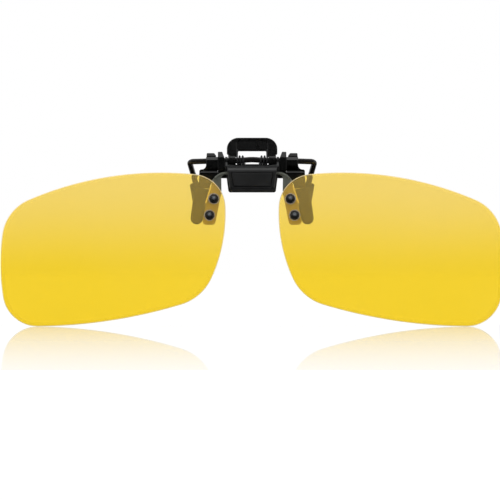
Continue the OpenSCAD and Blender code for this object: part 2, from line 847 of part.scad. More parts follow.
// Rails that close the back of the clamp, one behind each spring and one beside each cheek
module rails() {
    for (span = [[rib_half_w, spring_out - 0.4], [housing_half_w - ear_t, cheek_in + 0.3]])
        across(span[0], span[1]) polygon(rounded([
            [bar_back - rail_t, -rail_drop, 0.15],
            [bar_back, -rail_drop, 0.2],
            [bar_back, -bar_drop - 1, 0],
            [bar_back - rail_t, -bar_drop - 1, 0]
        ]));
}

module front_jaw() {
    color(black_plastic) {
        middle_rib();
        rails();
        left() rails();
        difference() {
            across(-cheek_in - 0.5, cheek_in + 0.5) crossbar_profile();
            spring_notch();
            left() spring_notch();
        }
        front_jaw_half();
        left() front_jaw_half();
    }
}

// A sleeve: a flat boot with round sides and a round tip, with its mouth at the origin and its tip down -Z
module boot(mouth_w, tip_w, length) {
    edge_r = sleeve_t / 2;
    hull() {
        for (side = [-1, 1]) translate([side * (mouth_w / 2 - edge_r), 0, -0.6])
            cylinder(r = edge_r, h = 0.6, $fn = 32);
        translate([0, 0, -length + tip_w / 2]) rotate([90, 0, 0])
            rotate_extrude($fn = 32) intersection() {
                translate([tip_w / 2 - edge_r, 0]) circle(r = edge_r, $fn = 24);
                translate([0, -edge_r]) square([tip_w, sleeve_t]);
            }
    }
}

module front_sleeve() {
    color(black_rubber)
    difference() {
        on_front_leg() boot(front_mouth_w, sleeve_tip_w, front_leg_len + sleeve_tip_w / 2);
        blade();
    }
}

// Rear wire: the shaft, an elbow and an arm that bows back, a knee and a leg that comes forward to the grip
rear_tip_y = grip_gap / 2 + sleeve_t / 2;
rear_tip_drop = sleeve_low - rear_tip_rise;
wire_points = [
    [0, 0, 0],
    [elbow_x, 0, 0],
    [arm_x, arm_back, -arm_drop],
    [knee_x, arm_back, -knee_drop],
    [rear_tip_x, rear_tip_y, -rear_tip_drop]
];

function along(i) = unit(wire_points[i + 1] - wire_points[i]);
function half_bend(i) = acos(along(i - 1) * along(i)) / 2;
function set_back(i) = i == 0 || i == len(wire_points) - 1 ? 0 : bend_r * tan(half_bend(i));

module rod(p, q, d) {
    v = q - p;
    translate(p)
    rotate([0, acos(v[2] / norm(v)), atan2(v[1], v[0])])
    cylinder(d = d, h = norm(v), $fn = 48);
}

// Bends are this much slimmer than the straights, as bent wire is, and run this far into them
bend_thinning = 0.02;
bend_overrun = 0.1;

module bend(i) {
    overrun = bend_overrun / bend_r * 180 / PI;
    turn_axis = unit(cross(along(i - 1), along(i)));
    centre = wire_points[i] + unit(along(i) - along(i - 1)) * bend_r / cos(half_bend(i));
    out = unit(wire_points[i] - along(i - 1) * set_back(i) - centre);
    fwd = along(i - 1);
    multmatrix([
        [out[0], fwd[0], turn_axis[0], centre[0]],
        [out[1], fwd[1], turn_axis[1], centre[1]],
        [out[2], fwd[2], turn_axis[2], centre[2]],
        [0, 0, 0, 1]
    ])
    rotate([0, 0, -overrun])
    rotate_extrude(angle = 2 * (half_bend(i) + overrun), $fn = 96)
    translate([bend_r, 0]) circle(d = wire_d - bend_thinning, $fn = 48);
}

module rear_wire_half() {
    for (i = [1:3]) bend(i);
    for (i = [1:3])
        let (start = wire_points[i] + along(i) * set_back(i))
        rod(start, wire_points[i + 1] - along(i) * set_back(i + 1), wire_d);
}

module rear_wire() {
    shaft_end = elbow_x - set_back(1);
    color(black_steel) {
        round_bar(-shaft_end, shaft_end, wire_d);
        rear_wire_half();
        left() rear_wire_half();
    }
}

// A rear leg's frame: its origin is just below the knee, its -Z runs down the leg and its Y faces back
rear_leg = wire_points[4] - wire_points[3];
rear_leg_pitch = atan2(-rear_leg[1], -rear_leg[2]);
rear_leg_roll = asin(rear_leg[0] / norm(rear_leg));

module on_rear_leg() {
    translate(wire_points[3] + along(3) * set_back(3))
    rotate([-rear_leg_pitch, 0, 0]) rotate([0, -rear_leg_roll, 0]) children();
}

module rear_sleeve() {
    start = wire_points[3] + along(3) * (set_back(3) - 1);
    color(black_rubber)
    difference() {
        on_rear_leg() boot(rear_mouth_w, sleeve_tip_w, rear_sleeve_len);
        rod(start, wire_points[4] + along(3) * fit_clear, wire_d + 2 * fit_clear);
    }
}

// Squeeze lever: an upside-down U that leans back, with a hub on each foot and a dish for the finger
module lever_outline() {
    polygon(rounded(mirrored_pair([
        [hub_in, 0, 0],
        [hub_in, hub_r + 0.2, 0.2],
        [window_half_w, hub_r + 0.5, 0.2],
        [window_half_w, window_h, 0.25]
    ])));
}

// The plate's feet start inside the hubs, clear of the bore
lever_foot = (hub_r + hub_bore_d / 2) / 2;
ear_room = 0.3;
skirt_front = ear_r + 0.75;
skirt_rise = 0.8;

module lever_blank() {
    polygon(rounded(mirrored_pair([
        [lever_half_w, lever_foot, 0],
        [lever_half_w, lever_h, lever_corner_r]
    ])));
}

module lever_hub() {
    round_bar(hub_in, hub_out, 2 * hub_r);
}

// Room for an ear of the housing: round about the axis, and sloped in front for when the lenses are up
module room_for_ear() {
    round_bar(hub_out, lever_half_w + 1, 2 * (ear_r + ear_room));
    across(hub_out, lever_half_w + 1) polygon([
        [-lever_t, 0],
        [-lever_t, skirt_front + skirt_rise],
        [0, skirt_front - skirt_rise],
        [0, 0]
    ]);
}

module squeeze_lever() {
    dish_half_w = window_half_w + 0.4;
    color(black_plastic)
    difference() {
        union() {
            rotate([-lever_lean, 0, 0]) difference() {
                slab(-lever_t / 2, lever_t / 2) lever_blank();
                slab(-lever_t, lever_t) lever_outline();
                slab(-lever_t, dish_depth - lever_t / 2) polygon(rounded(mirrored_pair([
                    [dish_half_w, hub_r + 0.9, 0],
                    [dish_half_w, lever_h - 0.75, 0.5]
                ])));
                room_for_ear();
                left() room_for_ear();
            }
            lever_hub();
            left() lever_hub();
        }
        round_bar(-elbow_x, elbow_x, hub_bore_d);
    }
}

// Torsion spring: up the crossbar, round the shaft and up the lever. Its legs lean in to what they bear on.
function leg_lean(length, half_t) =
    let (reach = norm([spring_r, length]))
    acos((half_t + spring_wire / 2 + leg_gap) / reach) - atan2(length, spring_r);
lever_leg_lean = lever_lean + leg_lean(lever_leg, lever_t / 2);
bar_leg_lean = leg_lean(bar_leg, bar_ahead);
spring_angle = 360 * spring_turns + lever_leg_lean + bar_leg_lean;
spring_run = spring_pitch * spring_angle / 360;
spring_rings = 8 * spring_turns + 2;
spring_sides = 6;

function curl_point(i) =
    let (a = 180 + bar_leg_lean - spring_angle * i / spring_rings)
    [spring_out - spring_run * (1 - i / spring_rings), spring_r * cos(a), spring_r * sin(a)];
spring_path = concat(
    [curl_point(0) + bar_leg * [0, sin(bar_leg_lean), -cos(bar_leg_lean)]],
    [curl_point(0) + bar_leg / 2 * [0, sin(bar_leg_lean), -cos(bar_leg_lean)]],
    [for (i = [0:spring_rings]) curl_point(i)],
    [curl_point(spring_rings) + lever_leg / 2 * [0, sin(lever_leg_lean), cos(lever_leg_lean)]],
    [curl_point(spring_rings) + lever_leg * [0, sin(lever_leg_lean), cos(lever_leg_lean)]]
);

// Rings of a tube along a path that never runs along X
function path_heading(path, i) = unit(path[min(i + 1, len(path) - 1)] - path[max(i - 1, 0)]);
function ring(path, i, r, n) =
    let (
        t = path_heading(path, i),
        u = unit(cross(t, [1, 0, 0])),
        v = cross(t, u)
    )
    [for (k = [0:n - 1]) path[i] + r * (cos(360 * k / n) * u + sin(360 * k / n) * v)];

module tube(path, r, n) {
    last = len(path) - 1;
    pts = [for (i = [0:last]) each ring(path, i, r, n)];
    sides = [
        for (i = [0:last - 1], k = [0:n - 1])
            let (a = i * n + k, b = i * n + (k + 1) % n)
            each [[a, b, b + n], [a, b + n, a + n]]
    ];
    ends = [
        for (k = [1:n - 2]) each [[0, k + 1, k], [last * n, last * n + k, last * n + k + 1]]
    ];
    polyhedron(points = pts, faces = concat(sides, ends), convexity = 6);
}

// The least gap of the spring to itself, between points more than half a curl apart
spring_self_gap = min([
    for (i = [0:0.2:spring_rings], j = [i + 5:0.2:spring_rings]) norm(curl_point(i) - curl_point(j))
]) - spring_wire;
echo(spring_self_gap = spring_self_gap);

module torsion_spring() {
    color(black_steel) tube(spring_path, spring_wire / 2, spring_sides);
}

at_axis() front_jaw();
at_axis() left() front_sleeve();  // left_front_sleeve
at_axis() front_sleeve();  // right_front_sleeve
at_axis() left() torsion_spring();  // left_torsion_spring
at_axis() torsion_spring();  // right_torsion_spring
at_axis() rear_wire();
at_axis() left() rear_sleeve();  // left_rear_sleeve
at_axis() rear_sleeve();  // right_rear_sleeve
at_axis() squeeze_lever();
at_axis() hinge_housing();
at_axis() housing_cover();
at_axis() left() bracket();  // left_bracket
at_axis() bracket();  // right_bracket
at_axis() left() lens();  // left_lens
at_axis() lens();  // right_lens
at_axis() left() rivet(1);  // left_upper_rivet
at_axis() left() rivet(-1);  // left_lower_rivet
at_axis() rivet(1);  // right_upper_rivet
at_axis() rivet(-1);  // right_lower_rivet
at_axis() left() washer(1);  // left_upper_washer
at_axis() left() washer(-1);  // left_lower_washer
at_axis() washer(1);  // right_upper_washer
at_axis() washer(-1);  // right_lower_washer
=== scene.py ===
from math import acos, asin, atan2, cos, hypot, pi, radians, sin, sqrt, tan

import bmesh
import bpy
from mathutils import Matrix, Vector


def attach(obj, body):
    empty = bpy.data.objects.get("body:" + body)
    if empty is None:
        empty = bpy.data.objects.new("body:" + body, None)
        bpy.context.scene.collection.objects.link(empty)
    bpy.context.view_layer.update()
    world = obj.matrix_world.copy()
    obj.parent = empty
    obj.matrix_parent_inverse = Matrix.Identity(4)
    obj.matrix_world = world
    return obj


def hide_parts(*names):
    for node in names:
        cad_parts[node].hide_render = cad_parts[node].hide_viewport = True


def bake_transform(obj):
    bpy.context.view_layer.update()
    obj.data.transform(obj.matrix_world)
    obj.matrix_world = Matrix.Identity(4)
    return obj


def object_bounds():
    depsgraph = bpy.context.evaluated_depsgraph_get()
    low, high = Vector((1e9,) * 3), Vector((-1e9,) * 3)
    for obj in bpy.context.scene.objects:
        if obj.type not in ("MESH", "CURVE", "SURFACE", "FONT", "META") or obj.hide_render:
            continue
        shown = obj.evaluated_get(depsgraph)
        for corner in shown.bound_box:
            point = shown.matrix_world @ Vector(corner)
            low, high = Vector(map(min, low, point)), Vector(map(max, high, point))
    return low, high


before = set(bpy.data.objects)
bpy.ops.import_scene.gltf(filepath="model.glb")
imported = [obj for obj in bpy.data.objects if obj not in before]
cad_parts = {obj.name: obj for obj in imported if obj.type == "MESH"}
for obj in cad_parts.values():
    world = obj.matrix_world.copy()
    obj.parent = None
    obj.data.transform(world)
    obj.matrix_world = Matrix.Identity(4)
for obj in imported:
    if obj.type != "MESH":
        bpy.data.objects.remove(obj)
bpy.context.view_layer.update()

# All sizes are in millimetres about the hinge axis: X across the face, Y back to the wearer, Z up
MM = 0.001
AXIS_Z = 12.5

# Lenses
LENS_W, LENS_H, LENS_T = 60.2, 41.2, 1.1
LENS_IN, LENS_TOP = 7, -3.2
SPHERE_R, LENS_CENTRE_IN = 132, 25
LENS_EDGE_R = 0.3

# Brackets
BRACKET_T, PAD_W, PAD_LEAN, PAD_LOW = 0.5, 3.4, radians(11.2), -17.15
NECK_X, NECK_TOP, NECK_R, NECK_W, NECK_INNER_R = 6.95, -3.05, 3.9, 0.65, 1.1
LIP_END, LIP_H, SHOULDER_DROP, SHEARED_W = radians(38), 0.6, 4.6, 0.3
NECK_LOW, PAD_TOP = -6, -8
POST_X, POST_Z, TANG_HALF_W, TANG_DROP = 4, -5.3, 1.3, 1.6

# Rivets and washers
RIVET_X, RIVET_Z = 10.8, -12.4
RIVET_PITCH, RIVET_LEAN = 4.56, radians(15.3)
RIVET_D, RIVET_HEAD_D, RIVET_HEAD_H = 1.2, 2.6, 0.9
RIVET_TAIL_D, RIVET_TAIL_H = 2, 0.5
WASHER_D, WASHER_T = 3, 0.3

# Rear wire
WIRE_D, BEND_R = 1.45, 1.2
ELBOW_X, ARM_BACK, ARM_X, ARM_Z = 17.05, 5.1, 15.85, -3.2
KNEE_X, KNEE_Z, REAR_TIP_X, REAR_TIP_RISE = 15.15, -5.95, 13.6, 2.1
WIRE_BOW, WIRE_SAG = 0.27, 0.13

# Front jaw, from the middle outwards
BAR_TOP, BAR_LOW, BAR_FRONT, BAR_BACK = -2.2, -4.7, -0.6, 2.2
NOTCH_TOP, NOTCH_LOW, NOTCH_DEPTH, NOTCH_SLOPE = -2.5, -3.85, 0.15, 0.1
MIDDLE_TOP, MIDDLE_HALF_W = -0.92, 1.75
RAIL_TOP, LOW_RAIL_TOP, RAIL_LOW, RAIL_T = -0.6, -1.02, -3.2, 0.6
RAIL_OUT, LOW_RAIL_OUT, END_RAIL_IN = 3.9, 4.6, 6.2
CHEEK_IN, CHEEK_TOP, CHEEK_LAP = 7.35, 0.4, 0.3
FLANGE_IN, FLANGE_TOP, FLANGE_BEND, FLANGE_LOW = 8, 2.38, 0.88, -2.6
FLANGE_Y, FLANGE_CROWN_Y = 2.2, 0.9
BLOCK_IN, BLOCK_OUT, BLOCK_TOP, BLOCK_Y = 9.15, 12.3, 1, 1.7
KNOB_H, KNOB_SINK = 1.04, 0.2
FOOT_TOP, FOOT_SWEEP, LEDGE_Z, FOOT_OUT, FOOT_LOW = -2.35, 1.2, -3.15, 14.1, -6.6
FOOT_FRONT, FOOT_BACK, STEP_FRONT = -2, -0.4, -1.7
BLADE_TOP, BLADE_LOW, BLADE_HALF_W, BLADE_HALF_T = 1, -8, 0.8, 0.4

# Sleeves
SLEEVE_T, SLEEVE_TIP_W, SLEEVE_LOW = 2, 3.3, -17.05
FRONT_MOUTH = Vector((13.55, -1.15, -7.3))
FRONT_MOUTH_W, FRONT_FLARE, FRONT_TIP_X = 3.7, 0.7, 14.85
REAR_MOUTH_W, REAR_SLEEVE_LEN, GRIP_GAP = 3.3, 10.7, 0.3

# Squeeze lever
LEVER_LEAN, LEVER_H, LEVER_HALF_W, LEVER_T = radians(18), 6.33, 6.75, 1.2
LEVER_CORNER_R, LEVER_SHOULDER, WINDOW_HALF_W, WINDOW_H = 3.1, 1.75, 3.75, 2.75
HUB_R, HUB_IN, HUB_OUT = 1.35, 4.35, 6.4
DISH_HALF_W, DISH_TOP, DISH_DEPTH = 4.15, 5.6, 0.25

# Torsion springs; the wire is drawn 0.08 mm thicker than it is, so that its turns show
SPRING_WIRE, SPRING_DRAWN, SPRING_R = 0.4, 0.48, 1.2
SPRING_PITCH, SPRING_TURNS, SPRING_OUT, SPRING_END_TURN = 0.82, 2, 4.02, 0.36
LEVER_LEG, BAR_LEG, LEG_GAP, LEG_BEND = 2.8, 3.4, 0.1, 0.2

# Housing and cover
WALL_HALF_W, HOUSING_BULGE, HOUSING_FOOT_W, BOX_HALF_W = 7.2, 0.25, 6.2, 6.75
HOUSING_TOP, HOUSING_LOW, HOUSING_BACK = -1.38, -8.5, -1.6
BULGE_START, BULGE_TOP, BULGE_LOW = -3.8, -4.6, -5.5
BROW_TOP, BROW_R, LEDGE_FRONT, LEDGE_LOW = -1.95, 1.4, -2.55, -1.82
WALL_FRONT, BOX_FRONT, COVER_FRONT, CHAMFER = -2.4, -3.7, -4.7, 0.6
EAR_T, EAR_R, EAR_ROOT, WEB_TOP, WEB_IN = 0.65, 1.05, 1.5, -0.9, 4.4
PANEL_TOP, PANEL_LOW, PANEL_HALF_W, PANEL_TAPER, PANEL_T = -3.3, -6.8, 5.35, 0.17, 0.2
GROOVE_W, GROOVE_DEPTH, CORE_GAP = 0.25, 0.35, 0.06
RIM_LOW, RIM_H, LINE_W = -7.1, 0.34, 0.2

BOTH_SIDES = [Matrix.Scale(side, 4, (1, 0, 0)) for side in (1, -1)]
scene = bpy.context.scene


# Outlines are lists of points in a plane
def arc(centre, r, start, end, steps):
    turns = [start + (end - start) * i / steps for i in range(steps + 1)]
    return [(centre[0] + r * cos(a), centre[1] + r * sin(a)) for a in turns]


def turn_from(start, end):
    """The shorter way round from one heading to another."""
    return (end - start + pi) % (2 * pi) - pi


def corner_arc(before, corner, after, r):
    """A rounded corner's centre, and from there the ways to where its arc starts and ends."""
    back, ahead = (before - corner).normalized(), (after - corner).normalized()
    half = back.angle(ahead) / 2
    centre = corner + (back + ahead).normalized() * r / sin(half)
    return centre, *(corner + way * r / tan(half) - centre for way in (back, ahead))


def rounded(points, steps=6):
    """An outline from corners given as (x, y, radius of the corner)."""
    outline = []
    for i, (x, y, r) in enumerate(points):
        if r <= 0:
            outline.append((x, y))
            continue
        before, after = (Vector(points[k % len(points)][:2]) for k in (i - 1, i + 1))
        centre, first, last = corner_arc(before, Vector((x, y)), after, r)
        start = atan2(first.y, first.x)
        outline += arc(centre, r, start, start + turn_from(start, atan2(last.y, last.x)), steps)
    return outline


def mirrored(points):
    """An outline's right half and, mirrored and in reverse, its left half."""
    return points + [(-p[0], *p[1:]) for p in reversed(points)]


def inset(outline, distance):
    """The outline drawn in by a distance."""
    pairs = list(zip(outline, outline[1:] + outline[:1]))
    inward = 1 if sum(x0 * y1 - x1 * y0 for (x0, y0), (x1, y1) in pairs) > 0 else -1
    sides = [Vector((y0 - y1, x1 - x0)).normalized() * inward for (x0, y0), (x1, y1) in pairs]
    drawn = []
    for i, (x, y) in enumerate(outline):
        shift = (sides[i - 1] + sides[i]) / (1 + sides[i - 1] @ sides[i]) * distance
        drawn.append((x + shift.x, y + shift.y))
    return drawn


def edge_steps(edge, steps=4):
    """How far in from the side and from the face each ring of a rounded edge lies."""
    turns = [i / steps * pi / 2 for i in range(steps + 1)]
    return [(edge * (1 - sin(a)), edge * (1 - cos(a))) for a in turns]


# Forms are lists of rings of points, which a Solid skins into closed shells
def bar(profile, x0, x1, edge):
    """A side profile of (y, z) as a bar with rounded edges; each end is an x, or gives it for a height."""
    rings = [(inset(profile, into), depth) for into, depth in edge_steps(edge)]
    start, end = (x if callable(x) else lambda z, x=x: x for x in (x0, x1))
    near = [[(start(z) + depth, y, z) for y, z in ring] for ring, depth in rings]
    far = [[(end(z) - depth, y, z) for y, z in ring] for ring, depth in rings]
    return near + far[::-1]


def plate(outline, y0, y1, edge):
    """An outline of (x, z) as a plate from y0 back to y1, with rounded edges."""
    return [[(x, y, z) for y, x, z in ring] for ring in bar(outline, y0, y1, edge)]


def wide(profile, half_w, edge):
    """A bar as wide to the left as to the right."""
    return bar(profile, lambda z: -half_w(z), half_w, edge)


def span(outline, height):
    """How far a convex outline of (a, z) reaches each way at a height."""
    found = [a for a, z in outline if abs(z - height) < 1e-5]
    for (a, low), (b, high) in zip(outline, outline[1:] + outline[:1]):
        if min(low, high) < height < max(low, high):
            found.append(a + (b - a) * (height - low) / (high - low))
    return min(found), max(found)


def crossed(front, side, edge):
    """The block within a front outline of (x, z) and a side one of (y, z), its standing edges rounded."""
    low = max(min(z for _, z in outline) for outline in (front, side))
    high = min(max(z for _, z in outline) for outline in (front, side))
    between = {round(z, 3) for _, z in front + side}
    heights = [low] + sorted(z for z in between if low + 0.01 < z < high - 0.005) + [high]
    rings = []
    for height in heights:
        (x0, x1), (y0, y1) = span(front, height), span(side, height)
        corners = [(x0, y0, edge), (x1, y0, edge), (x1, y1, edge), (x0, y1, edge)]
        rings.append([(x, y, height) for x, y in rounded(corners, 4)])
    return rings


def lofted(profiles):
    """A bar through side profiles of (y, z), each given with its x."""
    return [[(x, y, z) for y, z in profile] for x, profile in profiles]


def turned(profile, sides=48):
    """A profile of (radius, x) turned about the X axis."""
    turns = [2 * pi * i / sides for i in range(sides)]
    return [[(x, r * cos(a), r * sin(a)) for a in turns] for r, x in profile]


def swept(path, r, sides=20):
    """A round wire along a path, with its end edges eased."""
    last = len(path) - 1
    along = [(path[min(i + 1, last)] - path[max(i - 1, 0)]).normalized() for i in range(last + 1)]
    across = along[0].orthogonal().normalized()
    circle = [(cos(2 * pi * k / sides), sin(2 * pi * k / sides)) for k in range(sides)]
    rings = []
    for point, t in zip(path, along):
        across = (across - t * across.dot(t)).normalized()
        other = t.cross(across)
        rings.append([point + (across * c + other * s) * r for c, s in circle])
    for end, beside in ((0, 1), (-1, -2)):
        step = (path[end] - path[beside]).normalized() * r * 0.25
        eased = [path[end] + (p - path[end]) * 0.75 for p in rings[end]]
        rings[end] = [p - step for p in rings[end]]
        rings.insert(0 if end == 0 else len(rings), eased)
    return rings


def bent(points, radius, steps=10):
    """A path through points in space, with each corner bent to a radius."""
    path = [points[0]]
    for corner in zip(points, points[1:], points[2:]):
        centre, first, last = corner_arc(*corner, radius)
        path += [centre + first.slerp(last, i / steps) for i in range(steps + 1)]
    return path + [points[-1]]


class Solid:
    """Closed shells that make up one moulded, bent or turned piece."""

    def __init__(self, *forms, place=Matrix()):
        self.points = []
        self.faces = []
        for form in forms:
            self.add(form, place)

    def add(self, rings, place=Matrix()):
        start, n = len(self.points), len(rings[0])
        self.points += [place @ Vector(p) for ring in rings for p in ring]
        last = start + (len(rings) - 1) * n
        for first in range(start, last, n):
            pairs = [(first + k, first + (k + 1) % n) for k in range(n)]
            self.faces += [(a, b, b + n, a + n) for a, b in pairs]
        self.faces += [tuple(range(first, first + n)) for first in (start, last)]

    def mesh(self, name, flip):
        side = -1 if flip else 1
        points = [(side * x * MM, y * MM, (z + AXIS_Z) * MM) for x, y, z in self.points]
        mesh = bpy.data.meshes.new(name)
        mesh.from_pydata(points, [], self.faces)
        work = bmesh.new()
        work.from_mesh(mesh)
        bmesh.ops.recalc_face_normals(work, faces=work.faces)
        work.to_mesh(mesh)
        work.free()
        mesh.shade_smooth()
        mesh.set_sharp_from_angle(angle=radians(35))
        return mesh


def linked(name, data):
    """An object with its data, in the scene."""
    piece = bpy.data.objects.new(name, data)
    scene.collection.objects.link(piece)
    return piece


def stand_for(node, solid, body, material, flat=True, other=None):
    """A solid that takes a CAD node's place. A spring along X, between two bodies, is joined to neither."""
    left = node.startswith("left")
    piece = linked(node + "_form", solid.mesh(node + "_form", left))
    piece.data.materials.append(material)
    if flat:
        weight = piece.modifiers.new("even_faces", "WEIGHTED_NORMAL")
        weight.keep_sharp = True
    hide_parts(node)
    if other:
        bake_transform(piece)
    else:
        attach(piece, body)
    return piece


def second_finish(piece, material, first, end):
    """Gives the faces from first up to end another finish."""
    piece.data.materials.append(material)
    for face in piece.data.polygons[first:end]:
        face.material_index = 1


# Front jaw
def crossbar():
    """The bar behind the housing, with a notch that keeps each spring's leg in place."""
    half = CHEEK_IN + CHEEK_LAP
    notch_in = SPRING_OUT - SPRING_PITCH * (SPRING_TURNS + SPRING_END_TURN) - SPRING_WIRE
    notch_out = notch_in + 2 * SPRING_WIRE
    ease, wall = 0.1, 0.05

    def profile(drawn=0, notch=0):
        return inset(rounded([
            (BAR_FRONT, BAR_TOP, 0.15), (BAR_BACK, BAR_TOP, 0.6), (BAR_BACK, BAR_LOW, 0.4),
            (BAR_FRONT, BAR_LOW, 0.2), (BAR_FRONT, NOTCH_LOW - NOTCH_SLOPE, 0),
            (BAR_FRONT + notch, NOTCH_LOW, 0), (BAR_FRONT + notch, NOTCH_TOP, 0)]), drawn)

    sections = [(-half, profile(ease)), (-half + ease, profile())]
    for x0, x1 in ((-notch_out, -notch_in), (notch_in, notch_out)):
        sections += [(x0 - wall, profile()), (x0 + wall, profile(0, NOTCH_DEPTH))]
        sections += [(x1 - wall, profile(0, NOTCH_DEPTH)), (x1 + wall, profile())]
    return lofted(sections + [(half - ease, profile()), (half, profile(ease))])


def middle_rib():
    """The rib on the middle of the bar, just under the shaft."""
    root = BAR_TOP - 0.3
    return bar(rounded([
        (BAR_FRONT, MIDDLE_TOP, 0.2), (-BAR_FRONT, MIDDLE_TOP, 0.2), (BAR_BACK - 0.7, root, 0),
        (BAR_FRONT, root, 0)]), -MIDDLE_HALF_W, MIDDLE_HALF_W, 0.12)


def rails():
    """The rail along the bar's back: it dips where the coil is and stops short of the lever's hub."""
    front = BAR_BACK - RAIL_T
    rail = rounded([
        (front, RAIL_TOP, 0.15), (BAR_BACK, RAIL_TOP, 0.2), (BAR_BACK, RAIL_LOW, 0), (front, RAIL_LOW, 0)])
    dip = 0.05
    low_rail = [
        (front + dip, LOW_RAIL_TOP), (BAR_BACK - dip, LOW_RAIL_TOP), (BAR_BACK - dip, RAIL_LOW),
        (front + dip, RAIL_LOW)]
    return [
        bar(rail, MIDDLE_HALF_W, RAIL_OUT, 0.1), bar(low_rail, RAIL_OUT - 0.1, LOW_RAIL_OUT, 0.05),
        bar(rail, END_RAIL_IN, CHEEK_IN + CHEEK_LAP, 0.1)]


def flange():
    """The tall cheek with its leaning face, which the shaft turns in."""
    side = rounded([
        (-FLANGE_CROWN_Y, FLANGE_TOP, 0.3), (FLANGE_CROWN_Y, FLANGE_TOP, 0.3),
        (FLANGE_Y, FLANGE_BEND, 0.5), (FLANGE_Y, FLANGE_LOW, 0.5), (-FLANGE_Y, FLANGE_LOW, 0.4),
        (-FLANGE_Y, FLANGE_BEND, 0.4)])
    front = rounded([
        (CHEEK_IN, BAR_LOW, 0), (CHEEK_IN, FLANGE_BEND - 0.2, 0.3), (FLANGE_IN, FLANGE_TOP, 0.15),
        (BLOCK_IN, FLANGE_TOP, 0.2), (BLOCK_IN, BAR_LOW, 0)])
    return crossed(front, side, 0.12)


def cheek_root():
    """What joins the bar to the flange."""
    return bar(rounded([
        (BAR_FRONT, CHEEK_TOP, 0), (BAR_BACK, CHEEK_TOP, 0.2), (BAR_BACK, BAR_LOW, 0.4),
        (BAR_FRONT, BAR_LOW, 0.2)]), CHEEK_IN + 0.02, BLOCK_IN, 0.08)


def end_block():
    """The block at the end of the jaw, with a sloped front edge that catches the light."""
    low, inner = FOOT_TOP - 0.2, BLOCK_IN - 0.1
    side = rounded([
        (-BLOCK_Y + 0.95, BLOCK_TOP, 0.2), (BLOCK_Y - 0.3, BLOCK_TOP, 0.2), (BLOCK_Y, BLOCK_TOP - 0.4, 0.2),
        (BLOCK_Y, low, 0.3), (-BLOCK_Y, low, 0), (-BLOCK_Y, BLOCK_TOP - 0.8, 0.2)])
    front = rounded([
        (inner, BLOCK_TOP, 0), (BLOCK_OUT, BLOCK_TOP, 0.15), (BLOCK_OUT, low, 0), (inner, low, 0)])
    return crossed(front, side, 0.2)


def knob():
    """The knob on the end block, sloped towards the front and the middle."""
    inner, outer = BLOCK_IN + 0.45, BLOCK_OUT - 0.1
    low, top = BLOCK_TOP - KNOB_SINK, BLOCK_TOP + KNOB_H
    front = rounded([
        (inner, low, 0), (inner, BLOCK_TOP + 0.35, 0.1), (inner + 0.55, top, 0.2), (outer - 0.08, top, 0.25),
        (outer, low, 0)])
    side = rounded([
        (-0.6, low, 0), (-0.6, BLOCK_TOP + 0.25, 0.2), (0, top, 0.3), (0.9, top, 0.2), (1, low, 0)])
    return crossed(front, side, 0.2)


LEG_LEAN = atan2(FRONT_TIP_X - FRONT_MOUTH.x, FRONT_MOUTH.z - SLEEVE_LOW - SLEEVE_TIP_W / 2)
ON_FRONT_LEG = Matrix.Translation(FRONT_MOUTH) @ Matrix.Rotation(-LEG_LEAN, 4, "Y")


def stepped_foot():
    """The foot, cut square to its leg above the sleeve's mouth, a step over it and the slope between."""
    inner = BLOCK_IN + 0.02

    def over_mouth(x):
        return (x, FRONT_MOUTH.z + (x - FRONT_MOUTH.x) * tan(LEG_LEAN) + 0.03, 0.3)

    foot = rounded([
        (BLOCK_IN, LEDGE_Z, 0), (FOOT_OUT, LEDGE_Z, 0.25), over_mouth(FOOT_OUT + 0.25),
        over_mouth(FRONT_MOUTH.x - FRONT_MOUTH_W / 2 - 0.3), (BLOCK_IN + 2.05, FOOT_LOW, 0.4),
        (BLOCK_IN + 1.2, BAR_LOW, 0.4), (BLOCK_IN, BAR_LOW, 0)])
    step = rounded([
        (inner, FOOT_TOP + FOOT_SWEEP, 0), (BLOCK_OUT, FOOT_TOP + FOOT_SWEEP, 0),
        (BLOCK_OUT, FOOT_TOP, FOOT_SWEEP - 0.01), (FOOT_OUT, FOOT_TOP, 0.5), (FOOT_OUT, LEDGE_Z - 0.3, 0),
        (inner, LEDGE_Z - 0.3, 0)])
    slope = [
        (FOOT_FRONT, LEDGE_Z - 0.25), (FOOT_FRONT, LEDGE_Z - 0.05), (STEP_FRONT + 0.1, LEDGE_Z + 0.38),
        (STEP_FRONT + 0.2, LEDGE_Z - 0.25)]
    return [
        plate(foot, FOOT_FRONT, FOOT_BACK, 0.15), plate(step, STEP_FRONT, FOOT_BACK - 0.02, 0.12),
        bar(slope, BLOCK_IN + 0.05, lambda z: FOOT_OUT - 0.2 - (z - LEDGE_Z), 0.04)]


def blade():
    """The flat core of a front leg, inside its sleeve."""
    return plate(rounded([
        (-BLADE_HALF_W, BLADE_TOP, 0), (BLADE_HALF_W, BLADE_TOP, 0), (BLADE_HALF_W, BLADE_LOW, 0.2),
        (-BLADE_HALF_W, BLADE_LOW, 0.2)]), -BLADE_HALF_T, BLADE_HALF_T, 0.05)


def front_jaw():
    """One moulding: crossbar and rib, and on each side rails, flange, end block, knob, foot and blade."""
    solid = Solid(crossbar(), middle_rib())
    for side in BOTH_SIDES:
        for form in (*rails(), flange(), cheek_root(), end_block(), knob(), *stepped_foot()):
            solid.add(form, side)
        solid.add(blade(), side @ ON_FRONT_LEG)
    return solid


# Sleeves
def oblong(half_w, half_t, steps=10):
    """An outline with straight sides and round ends."""
    r = min(half_w, half_t)
    flat = half_w - r
    right = arc((flat, 0), r, -pi / 2, pi / 2, steps)
    left = arc((-flat, 0), r, pi / 2, 3 * pi / 2, steps)
    return [(x, y * half_t / r) for x, y in right + left]


